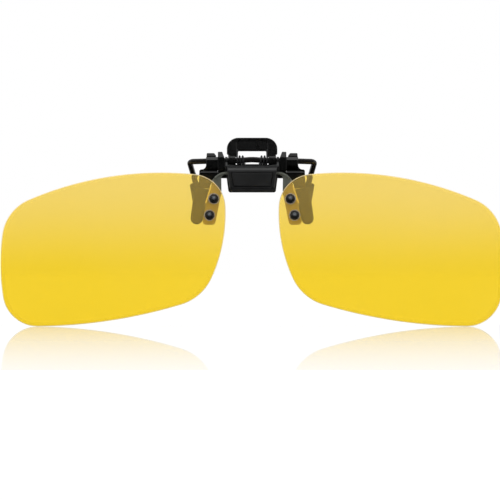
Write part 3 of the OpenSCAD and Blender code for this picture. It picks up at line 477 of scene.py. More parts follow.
def sleeve(mouth_w, length, flare=0):
    """A soft boot with round sides and a round tip: its mouth is at the origin and its tip down -Z."""
    half_t, tip_r = SLEEVE_T / 2, SLEEVE_TIP_W / 2
    tip_centre = length - tip_r
    rings = []
    rolled_rim = [(0.55, 0.5), (0.3, 0.2), (0.12, 0.05), (0, 0.15)]
    for drawn, down in rolled_rim:
        ring = oblong((mouth_w + flare) / 2 - drawn, half_t - drawn)
        rings.append([(x - flare / 2, y, -down) for x, y in ring])
    # The rings lie closer together where the tip rounds off
    tip_turns = (0, 12, 24, 36, 47, 57, 66, 74, 80, 85, 88.5)
    downs = [0.12 * tip_centre * i for i in range(1, 9)]
    downs += [tip_centre + tip_r * sin(radians(a)) for a in tip_turns]
    for down in downs:
        share = min(1, down / tip_centre)
        half_w = mouth_w / 2 + (tip_r - mouth_w / 2) * share
        if down > tip_centre:
            half_w = sqrt(tip_r ** 2 - (down - tip_centre) ** 2)
        past_round = max(0, down - (length - half_t))
        shift = flare * (1 - share) / 2
        ring = oblong(half_w + shift, sqrt(half_t ** 2 - past_round ** 2))
        rings.append([(x - shift, y, -down) for x, y in ring])
    return rings


def front_sleeve():
    run = Vector((FRONT_TIP_X - FRONT_MOUTH.x, 0, SLEEVE_LOW + SLEEVE_TIP_W / 2 - FRONT_MOUTH.z))
    return Solid(sleeve(FRONT_MOUTH_W, run.length + SLEEVE_TIP_W / 2, FRONT_FLARE), place=ON_FRONT_LEG)


# Rear wire
REAR_TIP = Vector((REAR_TIP_X, GRIP_GAP / 2 + SLEEVE_T / 2, SLEEVE_LOW + REAR_TIP_RISE))
ELBOW = Vector((ELBOW_X, 0, 0))
ARM = Vector((ARM_X, ARM_BACK, ARM_Z))
KNEE = Vector((KNEE_X, ARM_BACK, KNEE_Z))


def rear_wire():
    """Shaft, arms and legs. The drawn wire isn't quite straight: its middle bows up and its ends sag."""
    half = [Vector((x, 0, WIRE_BOW * cos(pi * x / 2 / HUB_IN) ** 2)) for x in (i / 2 for i in range(9))]
    half.append(Vector((CHEEK_IN, 0, 0)))
    sag = Vector((0, 0, WIRE_SAG))
    half += bent([Vector((BLOCK_OUT - 0.3, 0, 0)) - sag, ELBOW - sag, ARM, KNEE, REAR_TIP], BEND_R)
    other = [Vector((-p.x, p.y, p.z)) for p in reversed(half[1:])]
    return Solid(swept(other + half, WIRE_D / 2 + 0.02, 28))


def rear_sleeve():
    leg = REAR_TIP - KNEE
    half = (ARM - KNEE).angle(leg) / 2
    start = KNEE + leg.normalized() * BEND_R / tan(half)
    pitch = Matrix.Rotation(atan2(leg.y, -leg.z), 4, "X")
    roll = Matrix.Rotation(-asin(leg.x / leg.length), 4, "Y")
    return Solid(sleeve(REAR_MOUTH_W, REAR_SLEEVE_LEN), place=Matrix.Translation(start) @ pitch @ roll)


# Springs and lever
def torsion_spring():
    """Up the crossbar, round the shaft and up the lever; the legs lean in to what they bear on."""

    def leg_lean(length, half_t):
        return acos((half_t + SPRING_WIRE / 2 + LEG_GAP) / hypot(SPRING_R, length)) - atan2(length, SPRING_R)

    upper = LEVER_LEAN + leg_lean(LEVER_LEG, LEVER_T / 2)
    lower = leg_lean(BAR_LEG, -BAR_FRONT)
    angle = 2 * pi * SPRING_TURNS + upper + lower
    run = SPRING_PITCH * angle / (2 * pi)
    steps = 36 * SPRING_TURNS
    coil = []
    for share in (i / steps for i in range(steps + 1)):
        a = pi + lower - angle * share
        coil.append(Vector((SPRING_OUT - run * (1 - share), SPRING_R * cos(a), SPRING_R * sin(a))))
    down = Vector((0, sin(lower), -cos(lower)))
    up = Vector((0, sin(upper), cos(upper)))
    bar_leg = [coil[0] + down * BAR_LEG, coil[0] + down * LEG_BEND]
    lever_leg = [coil[-1] + up * LEG_BEND, coil[-1] + up * LEVER_LEG]
    return Solid(swept(bar_leg + coil + lever_leg, SPRING_DRAWN / 2, 14))


def squeeze_lever():
    """An upside-down U that leans back, a raised rim round its dished face, and a hub on each foot."""
    foot = (HUB_R + WIRE_D / 2) / 2
    outer = [
        (HUB_OUT - 0.02, foot, 0), (HUB_OUT - 0.02, LEVER_SHOULDER, 0), (LEVER_HALF_W, LEVER_SHOULDER, 0.34),
        (LEVER_HALF_W, LEVER_H, LEVER_CORNER_R)]
    window = [
        (-HUB_IN, foot, 0), (-HUB_IN, HUB_R + 0.2, 0.3), (-WINDOW_HALF_W, HUB_R + 0.5, 0.35),
        (-WINDOW_HALF_W, WINDOW_H, 0.3)]
    dish = [(-DISH_HALF_W, foot, 0), (-DISH_HALF_W, DISH_TOP, 1.2)]
    face = rounded(mirrored(outer) + mirrored(window), 10)
    rim = rounded(mirrored(outer) + mirrored(dish), 10)
    front, back = -LEVER_T / 2, LEVER_T / 2
    lean = Matrix.Rotation(-LEVER_LEAN, 4, "X")
    solid = Solid(plate(face, front + DISH_DEPTH, back, 0.3), place=lean)
    solid.add(plate(rim, front, back - 0.25, 0.22), lean)
    hub = rounded([(0.01, HUB_IN, 0), (HUB_R, HUB_IN, 0.1), (HUB_R, HUB_OUT, 0.1), (0.01, HUB_OUT, 0)], 4)
    for side in BOTH_SIDES:
        solid.add(turned(hub), side)
    return solid


# Housing and cover
def cropped(profile, y0, y1):
    """The part of a convex profile between two depths."""
    kept = []
    for i, (y, z) in enumerate(profile):
        py, pz = profile[i - 1]
        for limit in sorted((y0, y1), reverse=y < py):
            if min(py, y) < limit < max(py, y):
                kept.append((limit, pz + (z - pz) * (limit - py) / (y - py)))
        if y0 <= y <= y1:
            kept.append((y, z))
    return kept


def side_profile():
    """Housing and cover from the side: a ledge, a notch, a round brow, the face and the foot."""
    return rounded([
        (HOUSING_BACK, HOUSING_TOP, 0.15), (LEDGE_FRONT, HOUSING_TOP, 0.25),
        (LEDGE_FRONT - 0.1, LEDGE_LOW, 0.1), (LEDGE_FRONT - 0.4, BROW_TOP, 0),
        (COVER_FRONT, BROW_TOP, BROW_R), (COVER_FRONT, HOUSING_LOW + CHAMFER, 0.3),
        (COVER_FRONT + CHAMFER, HOUSING_LOW, 0.3), (HOUSING_BACK, HOUSING_LOW, 0.4)], 10)


def half_width(half_w, bulge=0):
    """The half width of the back wall, the box or the cover at a height: straight, bulged, then drawn in."""
    foot_w = half_w - WALL_HALF_W + HOUSING_FOOT_W
    knots = [
        (HOUSING_TOP, half_w), (BULGE_START, half_w), (BULGE_TOP, half_w + bulge),
        (BULGE_LOW, half_w + bulge), (HOUSING_LOW + 0.3, foot_w + 0.1), (HOUSING_LOW, foot_w - 0.25)]

    def at(z):
        for (z0, w0), (z1, w1) in zip(knots, knots[1:]):
            if z >= z1:
                share = min(1, max(0, (z - z0) / (z1 - z0)))
                return w0 + (w1 - w0) * share
        return knots[-1][1]
    return at


def ear():
    """The ear that turns on the shaft."""
    inner = HOUSING_BACK + 0.3
    outline = arc((0, 0), EAR_R, radians(-90), radians(197), 41) + [
        (WALL_FRONT, HOUSING_TOP), (WALL_FRONT, HOUSING_TOP - EAR_ROOT), (inner, HOUSING_TOP - EAR_ROOT),
        (inner, HOUSING_TOP - 0.8)]
    return bar(outline, WALL_HALF_W - EAR_T, WALL_HALF_W - 0.01, 0.08)


def ear_web():
    """The web that rises from the housing's ledge to its ear."""
    front, low = WALL_FRONT - 0.1, HOUSING_TOP - 0.3
    sections = []
    tops = [
        (WEB_IN, HOUSING_TOP + 0.1), (WEB_IN + 0.05, HOUSING_TOP + 0.12), (WALL_HALF_W - 0.1, WEB_TOP)]
    for x, top in tops:
        ahead = (WEB_TOP - top) / (WEB_TOP - HOUSING_TOP) * (front - HOUSING_BACK)
        sections.append((x, [
            (HOUSING_BACK, top), (HOUSING_BACK + min(-0.05, ahead), top - 0.04), (front, HOUSING_TOP),
            (front, low), (HOUSING_BACK, low)]))
    return lofted(sections)


def hinge_housing():
    profile = side_profile()
    wall = cropped(profile, WALL_FRONT, HOUSING_BACK)
    box = cropped(profile, BOX_FRONT, WALL_FRONT + 0.05)
    solid = Solid(wide(wall, half_width(WALL_HALF_W, HOUSING_BULGE), 0.12))
    solid.add(wide(box, half_width(BOX_HALF_W), 0.08))
    for side in BOTH_SIDES:
        solid.add(ear(), side)
        solid.add(ear_web(), side)
    return solid


def housing_cover():
    """A moulded cap: a rim all round, a groove about a plain panel, and a fine line along the foot."""
    profile = side_profile()
    law = half_width(BOX_HALF_W - 0.2)
    # The core stays under the rim, so that no two faces lie in one plane
    core = inset(cropped(profile, COVER_FRONT + GROOVE_DEPTH - CORE_GAP, BOX_FRONT + 0.6), CORE_GAP)
    solid = Solid(wide(core, lambda z: law(z) - CORE_GAP, 0.1))
    front = [(z, y) for y, z in cropped(profile, COVER_FRONT, BOX_FRONT)]
    brow = (PANEL_TOP + GROOVE_W, BROW_TOP + 0.1)
    low_rim = (RIM_LOW - RIM_H, RIM_LOW)
    foot = (HOUSING_LOW - 0.1, RIM_LOW - RIM_H - LINE_W)
    for low, top in (brow, low_rim, foot):
        solid.add(wide([(y, z) for z, y in cropped(front, low, top)], law, 0.1))

    def panel_half_w(z):
        return PANEL_HALF_W - (PANEL_TOP - z) * PANEL_TAPER

    panel = rounded(mirrored([(panel_half_w(z), z, 0.15) for z in (PANEL_TOP, PANEL_LOW)]))
    solid.add(plate(panel, COVER_FRONT - PANEL_T, COVER_FRONT + 0.5, 0.12))
    low, top, back = RIM_LOW - 0.3, PANEL_TOP + 0.5, BOX_FRONT + 0.5
    strip = rounded([(COVER_FRONT, low, 0), (COVER_FRONT, top, 0), (back, top, 0), (back, low, 0)])
    for side in BOTH_SIDES:
        solid.add(bar(strip, lambda z: panel_half_w(z) + GROOVE_W, law, 0.35), side)
    return solid


# The lens front is part of a sphere; the bracket's pad is square to it between the rivets
LENS_MID = Vector((LENS_IN + LENS_CENTRE_IN, LENS_TOP - LENS_H / 2))
PAD_REACH = Vector((RIVET_X, RIVET_Z)) - LENS_MID
PAD_DEPTH = sqrt(SPHERE_R ** 2 - PAD_REACH.length_squared)
NECK_REACH = Vector((NECK_X + NECK_INNER_R - RIVET_X, NECK_TOP - NECK_W - NECK_INNER_R - RIVET_Z))
PAD_FRONT = LENS_T + NECK_REACH.length_squared / (2 * (SPHERE_R - LENS_T)) + 0.03
NECK_END = Vector((NECK_X + 0.2 - RIVET_X, NECK_TOP - NECK_W / 2 - RIVET_Z))
PAD_Y = WALL_FRONT - BRACKET_T - (PAD_FRONT * SPHERE_R + NECK_END @ PAD_REACH) / PAD_DEPTH
PAD_YAW = atan2(PAD_REACH.x, PAD_DEPTH)
PAD_PITCH = asin(-PAD_REACH.y / SPHERE_R)
ON_PAD = (Matrix.Translation((RIVET_X, PAD_Y, RIVET_Z)) @ Matrix.Rotation(PAD_YAW, 4, "Z")
          @ Matrix.Rotation(PAD_PITCH, 4, "X"))
SPHERE_Y = PAD_Y + PAD_DEPTH


def lens_outline(steps=20):
    """Four corner arcs joined by four long bows."""
    out, low = LENS_IN + LENS_W, LENS_TOP - LENS_H
    # Each corner's centre, measured from two edges of the lens, and its radius; then the bows' radii
    corners = [
        (LENS_IN + 15.7, low + 18.5, 13.1), (out - 9.9, low + 9.5, 9.35),
        (out - 12.2, LENS_TOP - 18.1, 11.8), (LENS_IN + 9.1, LENS_TOP - 9.4, 9)]
    bows = [137, 58, 90, 41.5]
    centres = []
    for k in range(4):
        (px, pz, pr), (qx, qz, qr) = corners[k], corners[(k + 1) % 4]
        p, d = Vector((px, pz)), Vector((qx - px, qz - pz))
        along = (d.length_squared + (bows[k] - pr) ** 2 - (bows[k] - qr) ** 2) / (2 * d.length)
        u = d.normalized()
        centres.append(p + u * along + Vector((-u.y, u.x)) * sqrt((bows[k] - pr) ** 2 - along ** 2))
    outline = []
    for k in range(4):
        p, q = Vector(corners[k][:2]), Vector(corners[(k + 1) % 4][:2])
        spokes = (p - centres[k], q - centres[k], q - centres[(k + 1) % 4])
        start, end, ahead = (atan2(spoke.y, spoke.x) for spoke in spokes)
        outline += arc(centres[k], bows[k], start, start + turn_from(start, end), steps)[:-1]
        outline += arc(q, corners[(k + 1) % 4][2], end, end + turn_from(end, ahead), steps - 6)[:-1]
    return outline


# How large each ring of a lens's face is, from edge to middle, and the strips of faces that are its rim
LENS_SHARES = [0.97, 0.92, 0.85, 0.76, 0.66, 0.56, 0.46, 0.36, 0.26, 0.17, 0.09, 0.03]
RIM_STEPS = 5
RIM_FIRST, RIM_END = len(LENS_SHARES) + 1, len(LENS_SHARES) + 2 * RIM_STEPS


def lens():
    outline = lens_outline()
    middle = Vector((LENS_MID.x, LENS_MID.y + 1))

    def depth(x, z, r):
        return SPHERE_Y - sqrt(r * r - (x - LENS_MID.x) ** 2 - (z - LENS_MID.y) ** 2)

    def ring(points, r, back=0):
        return [(x, depth(x, z, r) + back, z) for x, z in points]

    rear_r = SPHERE_R - LENS_T
    rim = edge_steps(LENS_EDGE_R, RIM_STEPS)
    edge = inset(outline, LENS_EDGE_R)
    face = [[middle + (Vector(p) - middle) * share for p in edge] for share in LENS_SHARES]
    rings = [ring(points, SPHERE_R) for points in reversed(face)]
    rings += [ring(inset(outline, into), SPHERE_R, down) for into, down in rim]
    rings += [ring(inset(outline, into), rear_r, -down) for into, down in reversed(rim)]
    return Solid(rings + [ring(points, rear_r) for points in face])


def bracket():
    """A neck that arcs out of the housing, with a lip, a pad behind the lens, a tang and a sheared edge."""
    shift = (PAD_FRONT * sin(PAD_YAW) - RIVET_X, 0, -RIVET_Z - PAD_FRONT * sin(PAD_PITCH))
    place = ON_PAD @ Matrix.Translation(shift)
    centre, root_x = (NECK_X, NECK_TOP - NECK_R), NECK_X + NECK_INNER_R
    shoulder = NECK_TOP - NECK_R - SHOULDER_DROP

    def beside(side, z):
        return RIVET_X + side * PAD_W / 2 / cos(PAD_LEAN) - (z - RIVET_Z) * tan(PAD_LEAN)

    outer = arc(centre, NECK_R, pi / 2, 0, 18)
    low = rounded([
        (*outer[-1], 0), (beside(1, shoulder), shoulder, 2), (beside(1, PAD_LOW), PAD_LOW, 0.9),
        (beside(-1, PAD_LOW), PAD_LOW, 0.9), (root_x, PAD_TOP, 1), (root_x, NECK_LOW, 0)], 8)
    inner = arc((NECK_X, NECK_TOP - NECK_W - NECK_INNER_R), NECK_INNER_R, 0, pi / 2, 10)
    strip = outer + low[1:-1] + inner
    solid = Solid(plate(strip, PAD_FRONT, PAD_FRONT + BRACKET_T, 0.1), place=place)
    lip = arc(centre, NECK_R, pi / 2, LIP_END, 14) + arc(centre, NECK_R - BRACKET_T, LIP_END, pi / 2, 14)
    solid.add(plate(lip, PAD_FRONT - LIP_H, PAD_FRONT + 0.1, 0.08), place)
    tang_in, tang_out = POST_X - TANG_HALF_W, POST_X + TANG_HALF_W
    neck_in, tang_low = NECK_X + 0.4, POST_Z - TANG_DROP
    tang = rounded([
        (neck_in, NECK_TOP, 0), (tang_in, NECK_TOP, 0.6), (tang_in, tang_low, 0.6),
        (tang_out, tang_low, 0.6), (tang_out, NECK_TOP - NECK_W, 0.5), (neck_in, NECK_TOP - NECK_W, 0)])
    solid.add(plate(tang, WALL_FRONT - BRACKET_T, WALL_FRONT, 0.08))
    back = PAD_FRONT + SHEARED_W
    sheared = []
    for share in (0.02, 0.96):
        x, z = Vector(outer[-1]).lerp(Vector((beside(1, shoulder), shoulder)), share)
        sheared.append([(x - 0.05, PAD_FRONT, z), (x + SHEARED_W, back, z), (x - 0.05, back, z)])
    solid.add(sheared, place)
    return solid


# The sheared edge is the bracket's last form: three sides and two ends
SHEARED_FACES = 5


def at_rivet(up):
    """A rivet's frame, whose X runs back through the lens."""
    shift = Vector((-sin(RIVET_LEAN), 0, cos(RIVET_LEAN))) * up * RIVET_PITCH / 2
    return ON_PAD @ Matrix.Translation(shift) @ Matrix.Rotation(pi / 2, 4, "Z")


def rivet(up):
    """A domed head on a washer, a shank, and a tail that is clinched hollow behind the pad."""
    head_r, shank_r, tail_r = RIVET_HEAD_D / 2, RIVET_D / 2, RIVET_TAIL_D / 2
    tail = PAD_FRONT + BRACKET_T + 0.03
    end = tail + RIVET_TAIL_H
    cap_r = (head_r ** 2 + RIVET_HEAD_H ** 2) / (2 * RIVET_HEAD_H)
    rim, steps = atan2(head_r, cap_r - RIVET_HEAD_H), 14
    dome = [rim * i / steps for i in range(steps + 1)]
    profile = [(max(0.01, cap_r * sin(a)), cap_r * (1 - cos(a)) - WASHER_T - RIVET_HEAD_H) for a in dome]
    profile += [
        (head_r - 0.05, -WASHER_T), (shank_r, -WASHER_T), (shank_r, tail), (tail_r - 0.05, tail),
        (tail_r, tail + 0.08), (tail_r - 0.12, end - 0.1), (tail_r - 0.3, end), (0.3, end),
        (0.2, end - 0.12), (0.01, end - 0.12)]
    return Solid(turned(profile, 40), place=at_rivet(up))


def washer(up):
    r, hole, edge = WASHER_D / 2, RIVET_D / 2 + 0.02, 0.08
    profile = [
        (hole, -WASHER_T), (r - edge, -WASHER_T), (r, -WASHER_T + edge), (r, -edge), (r - edge, 0),
        (hole, 0)]
    return Solid(turned(profile, 40), place=at_rivet(up))


# Materials
def linear(code):
    """An sRGB hex colour as linear red, green, blue and alpha."""
    parts = [int(code[i:i + 2], 16) / 255 for i in (1, 3, 5)]
    return [c / 12.92 if c <= 0.04045 else ((c + 0.055) / 1.055) ** 2.4 for c in parts] + [1]


def add(tree, kind, settings=None, links=None):
    """Adds a shader node, sets its properties or sockets and links other nodes' outputs to its sockets."""
    node = tree.nodes.new("ShaderNode" + kind)
    for name, value in (settings or {}).items():
        if isinstance(name, int) or name in node.inputs:
            node.inputs[name].default_value = value
        else:
            setattr(node, name, value)
    for name, source in (links or {}).items():
        output = source if isinstance(source, bpy.types.NodeSocket) else source.outputs[0]
        tree.links.new(output, node.inputs[name])
    return node


def made(name, build, *values):
    """A material whose surface a function builds in its emptied tree."""
    material = bpy.data.materials.new(name)
    material.use_nodes = True
    tree = material.node_tree
    tree.nodes.clear()
    add(tree, "OutputMaterial", links={"Surface": build(tree, *values)})
    return material


def in_mm(tree):
    """Object coordinates scaled so that a pattern's scale is in turns a millimetre."""
    place = add(tree, "TexCoord").outputs["Object"]
    return add(tree, "VectorMath", {"operation": "SCALE", "Scale": 1 / MM}, {0: place})


def spread(tree, value, low, high):
    """A pattern's value, mostly between 0.3 and 0.7, spread from low to high."""
    ends = {"From Min": 0.3, "From Max": 0.7, "To Min": low, "To Max": high}
    return add(tree, "MapRange", ends, {0: value})


def blended(tree, share, first, second):
    """A colour between two hex colours."""
    ends = {"data_type": "RGBA", 6: linear(first), 7: linear(second)}
    return add(tree, "Mix", ends, {0: share}).outputs[2]


def moulded_nylon(tree, dark, pale, roughness, specular):
    """Black nylon from a spark-eroded tool: grain breaks up the sheen, which drifts where the melt ran."""
    place = in_mm(tree)
    # The tool's grain is 0.05 mm wide, drawn at 0.16 mm so that it shows
    grain = add(tree, "TexNoise", {"Scale": 6, "Detail": 4, "Roughness": 0.6}, {0: place})
    # Where the melt ran, the gloss changes over a few millimetres
    flow = add(tree, "TexNoise", {"Scale": 0.4, "Detail": 2, "Distortion": 0.6}, {0: place})
    colour = blended(tree, spread(tree, flow, 0, 1), dark, pale)
    even = spread(tree, grain, roughness - 0.05, roughness + 0.07)
    drift = spread(tree, flow, -0.04, 0.04)
    rough = add(tree, "Math", {"operation": "ADD"}, {0: even, 1: drift})
    bump = add(tree, "Bump", {"Strength": 0.3, "Distance": 0.012 * MM}, {"Height": grain})
    return add(tree, "BsdfPrincipled", {"IOR": 1.53, "Specular IOR Level": specular},
               {"Base Color": colour, "Roughness": rough, "Normal": bump})


def oxidised_steel(tree, dark, pale, roughness, pattern, stretch, depth, metallic, painted_light_from=None):
    """Steel under an oxide or plating: metal shines through it by a share, marked by drawing or rolling."""
    place = in_mm(tree)
    along = add(tree, "VectorMath", {"operation": "MULTIPLY", 1: stretch}, {0: place})
    # Draw and roll lines are 0.02 mm apart, drawn at 0.1 to 0.25 mm so that they show
    lines = add(tree, "TexNoise", {"Scale": pattern, "Detail": 3, "Roughness": 0.65}, {0: along})
    # Oxide and plating vary in patches about a millimetre wide
    patches = add(tree, "TexNoise", {"Scale": 0.9, "Detail": 4}, {0: place})
    mixed = add(tree, "Mix", {"data_type": "FLOAT", 0: 0.4}, {2: lines, 3: patches})
    colour = blended(tree, spread(tree, mixed, 0, 1), dark, pale)
    if painted_light_from:
        # Painted light: the pad behind the lens is painted paler than the neck, nearer the middle and hinge
        either = add(tree, "VectorMath", {"operation": "ABSOLUTE"}, {0: place})
        away = add(tree, "VectorMath", {"operation": "DOT_PRODUCT", 1: (1, 0, -0.78)}, {0: either})
        ends = {"From Min": painted_light_from, "From Max": painted_light_from + 0.4}
        share = add(tree, "MapRange", ends, {0: away.outputs["Value"]})
        bright = {"data_type": "RGBA", 7: linear("#c4c0b6")}
        colour = add(tree, "Mix", bright, {0: share, 6: colour}).outputs[2]
    rough = spread(tree, mixed, roughness - 0.06, roughness + 0.08)
    bump = add(tree, "Bump", {"Strength": 0.35, "Distance": depth * MM}, {"Height": lines})
    return add(tree, "BsdfPrincipled", {"Metallic": metallic},
               {"Base Color": colour, "Roughness": rough, "Normal": bump})


def headed_steel(tree):
    """Blackened steel from a heading die: each crown has a painted highlight, and the rims stay dark."""
    place = in_mm(tree)
    # The die's scale marks are 0.05 mm wide, drawn at 0.2 mm so that they show
    scale = add(tree, "TexNoise", {"Scale": 5, "Detail": 3, "Roughness": 0.65}, {0: place})
    within = add(tree, "TexCoord").outputs["Generated"]
    flat = add(tree, "VectorMath", {"operation": "MULTIPLY", 1: (1, 0, 1)}, {0: within})
    # The painted highlight lies a little above the middle of the rivet's box, which runs from 0 to 1
    out = add(tree, "VectorMath", {"operation": "DISTANCE", 1: (0.5, 0, 0.6)}, {0: flat})
    highlight_edge = {"interpolation_type": "SMOOTHSTEP", "From Min": 0.29, "From Max": 0}
    painted_highlight = add(tree, "MapRange", highlight_edge, {0: out.outputs["Value"]})
    uneven = spread(tree, scale, -0.08, 0.08)
    share = add(tree, "Math", {"operation": "ADD", "use_clamp": True}, {0: painted_highlight, 1: uneven})
    # The pale colour is the painted highlight; the dark one is the blackened steel's own
    colour = blended(tree, share, "#242527", "#9a9ea2")
    rough = spread(tree, scale, 0.22, 0.32)
    bump = add(tree, "Bump", {"Strength": 0.35, "Distance": 0.002 * MM}, {"Height": scale})
    return add(tree, "BsdfPrincipled", {"Metallic": 0.6},
               {"Base Color": colour, "Roughness": rough, "Normal": bump})


def dipped_rubber(tree):
    """Soft PVC rubber, dipped and cured: matte, slightly uneven, with a faint dusty bloom."""
    place = in_mm(tree)
    # The skin's ripples are 0.3 mm wide, and the bloom lies in patches of 2 mm
    skin = add(tree, "TexNoise", {"Scale": 3.2, "Detail": 5, "Roughness": 0.7}, {0: place})
    bloom = add(tree, "TexNoise", {"Scale": 0.5, "Detail": 3}, {0: place})
    colour = blended(tree, spread(tree, bloom, 0, 1), "#1d1e20", "#2a2b2e")
    rough = spread(tree, skin, 0.55, 0.75)
    bump = add(tree, "Bump", {"Strength": 0.4, "Distance": 0.03 * MM}, {"Height": skin})
    return add(tree, "BsdfPrincipled", {"IOR": 1.52, "Sheen Weight": 0.06, "Sheen Roughness": 0.5},
               {"Base Color": colour, "Roughness": rough, "Normal": bump})


def clear_nylon(tree):
    """Natural nylon, stamped from sheet: nearly clear, with a milky grain, so the lens shows through."""
    place = in_mm(tree)
    # The milky grain is 0.2 mm wide
    grain = add(tree, "TexNoise", {"Scale": 5, "Detail": 3}, {0: place})
    colour = blended(tree, grain, "#fffdf8", "#f4eee2")
    rough = spread(tree, grain, 0.12, 0.22)
    return add(tree, "BsdfPrincipled",
               {"IOR": 1.53, "Specular IOR Level": 0.3, "Transmission Weight": 0.8},
               {"Base Color": colour, "Roughness": rough})


def tinted_lens(tree):
    """Cast yellow polycarbonate, polished: clear and glossy, a little milky, deeper in colour lower down."""
    place = in_mm(tree)
    split = add(tree, "SeparateXYZ", links={0: place})
    # The colour pales from the lens's lower third up to its top edge
    fade = {"interpolation_type": "SMOOTHSTEP", "From Min": -19, "From Max": 8}
    height = add(tree, "MapRange", fade, {0: split.outputs["Z"]})
    # The dye settles unevenly over centimetres
    cloud = add(tree, "TexNoise", {"Scale": 0.03, "Detail": 1}, {0: place})
    uneven = spread(tree, cloud, -0.04, 0.04)
    share = add(tree, "Math", {"operation": "ADD", "use_clamp": True}, {0: height, 1: uneven})
    colour = blended(tree, share, "#ffdb22", "#ffe070")
    # Polishing leaves a slight wave, about one a centimetre
    wave = add(tree, "TexNoise", {"Scale": 0.08, "Detail": 1}, {0: place})
    rough = spread(tree, wave, 0.015, 0.03)
    return add(tree, "BsdfPrincipled",
               {"IOR": 1.58, "Specular IOR Level": 0.16, "Transmission Weight": 0.88, "Sheen Weight": 0.06,
                "Sheen Roughness": 1},
               {"Base Color": colour, "Roughness": rough})


def ground_lens_edge(tree):
    """The ground edge of the lens: frosted, its pale line partly its own colour and partly painted light."""
    place = in_mm(tree)
    # The wheel's scratches are 0.03 mm apart, drawn at 0.25 mm so that they show
    marks = add(tree, "TexNoise", {"Scale": 4, "Detail": 3}, {0: place})
    # The pale colour stands in part for light glowing along the edge: painted light
    colour = blended(tree, marks, "#fff0c4", "#ffe39a")
    rough = spread(tree, marks, 0.35, 0.5)
    bump = add(tree, "Bump", {"Strength": 0.3, "Distance": 0.02 * MM}, {"Height": marks})
    return add(tree, "BsdfPrincipled",
               {"IOR": 1.58, "Specular IOR Level": 0.3, "Transmission Weight": 0.45},
               {"Base Color": colour, "Roughness": rough, "Normal": bump})


EVEN, DRAWN, ROLLED = (1, 1, 1), (0.3, 5, 5), (6, 6, 0.5)
jaw_nylon = made("moulded_jaw_nylon", moulded_nylon, "#090a0a", "#0d0d0d", 0.3, 0.6)
housing_nylon = made("moulded_housing_nylon", moulded_nylon, "#1e1f1f", "#242525", 0.42, 0.6)
drawn_wire = made("drawn_black_wire", oxidised_steel, "#161413", "#1f1c1a", 0.3, 2, DRAWN, 0.004, 0.2)
spring_wire = made("coiled_music_wire", oxidised_steel, "#1a1a1c", "#262628", 0.24, 6, EVEN, 0.003, 0.2)
# Out and down past 4.7 mm the pad is painted paler: painted light for what reaches it through the lens
rolled_sheet = made(
    "rolled_plated_sheet", oxidised_steel, "#6f7269", "#7f8278", 0.42, 1.6, ROLLED, 0.004, 0.45, 4.7)
# The inner edge is mirror steel, its near-white colour partly a painted glint: a bright line by the sleeve
glint_edge = made("glint_steel_edge", oxidised_steel, "#f2f0e8", "#fbfaf4", 0.16, 4, EVEN, 0.002, 1)
headed_rivet = made("cold_headed_rivet", headed_steel)
rubber = made("dipped_rubber", dipped_rubber)
washer_nylon = made("stamped_clear_nylon", clear_nylon)
lens_tint = made("tinted_polycarbonate", tinted_lens)
ground_edge = made("ground_polycarbonate", ground_lens_edge)

# Pieces
stand_for("front_jaw", front_jaw(), "clamp", jaw_nylon)
stand_for("rear_wire", rear_wire(), "rear_jaw", drawn_wire, False)
stand_for("squeeze_lever", squeeze_lever(), "rear_jaw", jaw_nylon)
stand_for("hinge_housing", hinge_housing(), "flip_frame", housing_nylon)
stand_for("housing_cover", housing_cover(), "flip_frame", housing_nylon)
around = len(lens_outline())
for side in ("left_", "right_"):
    stand_for(side + "front_sleeve", front_sleeve(), "clamp", rubber, False)
    stand_for(side + "rear_sleeve", rear_sleeve(), "rear_jaw", rubber, False)
    # The spring's legs bear on the crossbar and the lever; the spring is fixed in place, on neither body
    stand_for(
        side + "torsion_spring", torsion_spring(), "clamp", spring_wire, False, "rear_jaw")
    piece = stand_for(side + "bracket", bracket(), "flip_frame", rolled_sheet)
    second_finish(piece, glint_edge, -SHEARED_FACES, None)
    piece = stand_for(side + "lens", lens(), "flip_frame", lens_tint, False)
    second_finish(piece, ground_edge, RIM_FIRST * around, RIM_END * around)
    for name, up in (("upper_", 1), ("lower_", -1)):
        stand_for(side + name + "rivet", rivet(up), "flip_frame", headed_rivet)
        stand_for(side + name + "washer", washer(up), "flip_frame", washer_nylon)


# Studio
def seen(tree):
    """1 for what the eye meets straight, in gloss or through the lens, 0 for what only lights the object."""
    path = add(tree, "LightPath")
    rays = path.outputs["Is Camera Ray"]
    for kind in ("Is Glossy Ray", "Is Transmission Ray"):
        rays = add(tree, "Math", {"operation": "MAXIMUM"}, {0: rays, 1: path.outputs[kind]})
    return rays


world = bpy.data.worlds.new("studio")
scene.world = world
world.use_nodes = True
tree = world.node_tree
tree.nodes.clear()
level = add(tree, "MapRange", {"To Min": 0.9, "To Max": 1}, {0: seen(tree)})
sky = add(tree, "Background", {"Color": (1, 1, 1, 1)}, {"Strength": level})
add(tree, "OutputWorld", links={"Surface": sky})


def sun(name, strength, angle, elevation, azimuth):
    """A soft lamp that gloss doesn't show: the sky and the cards are all that it sees."""
    lamp = bpy.data.lights.new(name, "SUN")
    lamp.energy = strength
    lamp.angle = radians(angle)
    e, a = radians(elevation), radians(azimuth)
    towards = Vector((sin(a) * cos(e), -cos(a) * cos(e), sin(e)))
    piece = linked(name, lamp)
    piece.visible_glossy = False
    piece.rotation_euler = towards.to_track_quat("Z", "Y").to_euler()


sun("key_light", 0.5, 50, 72, 0)
sun("fill_light", 0.15, 90, 25, 10)

FLOOR_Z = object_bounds()[0].z / MM - 0.02
FLOOR_HALF = 6000
# The floor mirrors most under the object, less towards the eye, and nothing past these depths
MIRROR_FRONT, MIRROR_BACK, MIRROR_FADE = -1092, 150, 40
MIRROR_LEAST, MIRROR_MOST = 0.16, 0.72


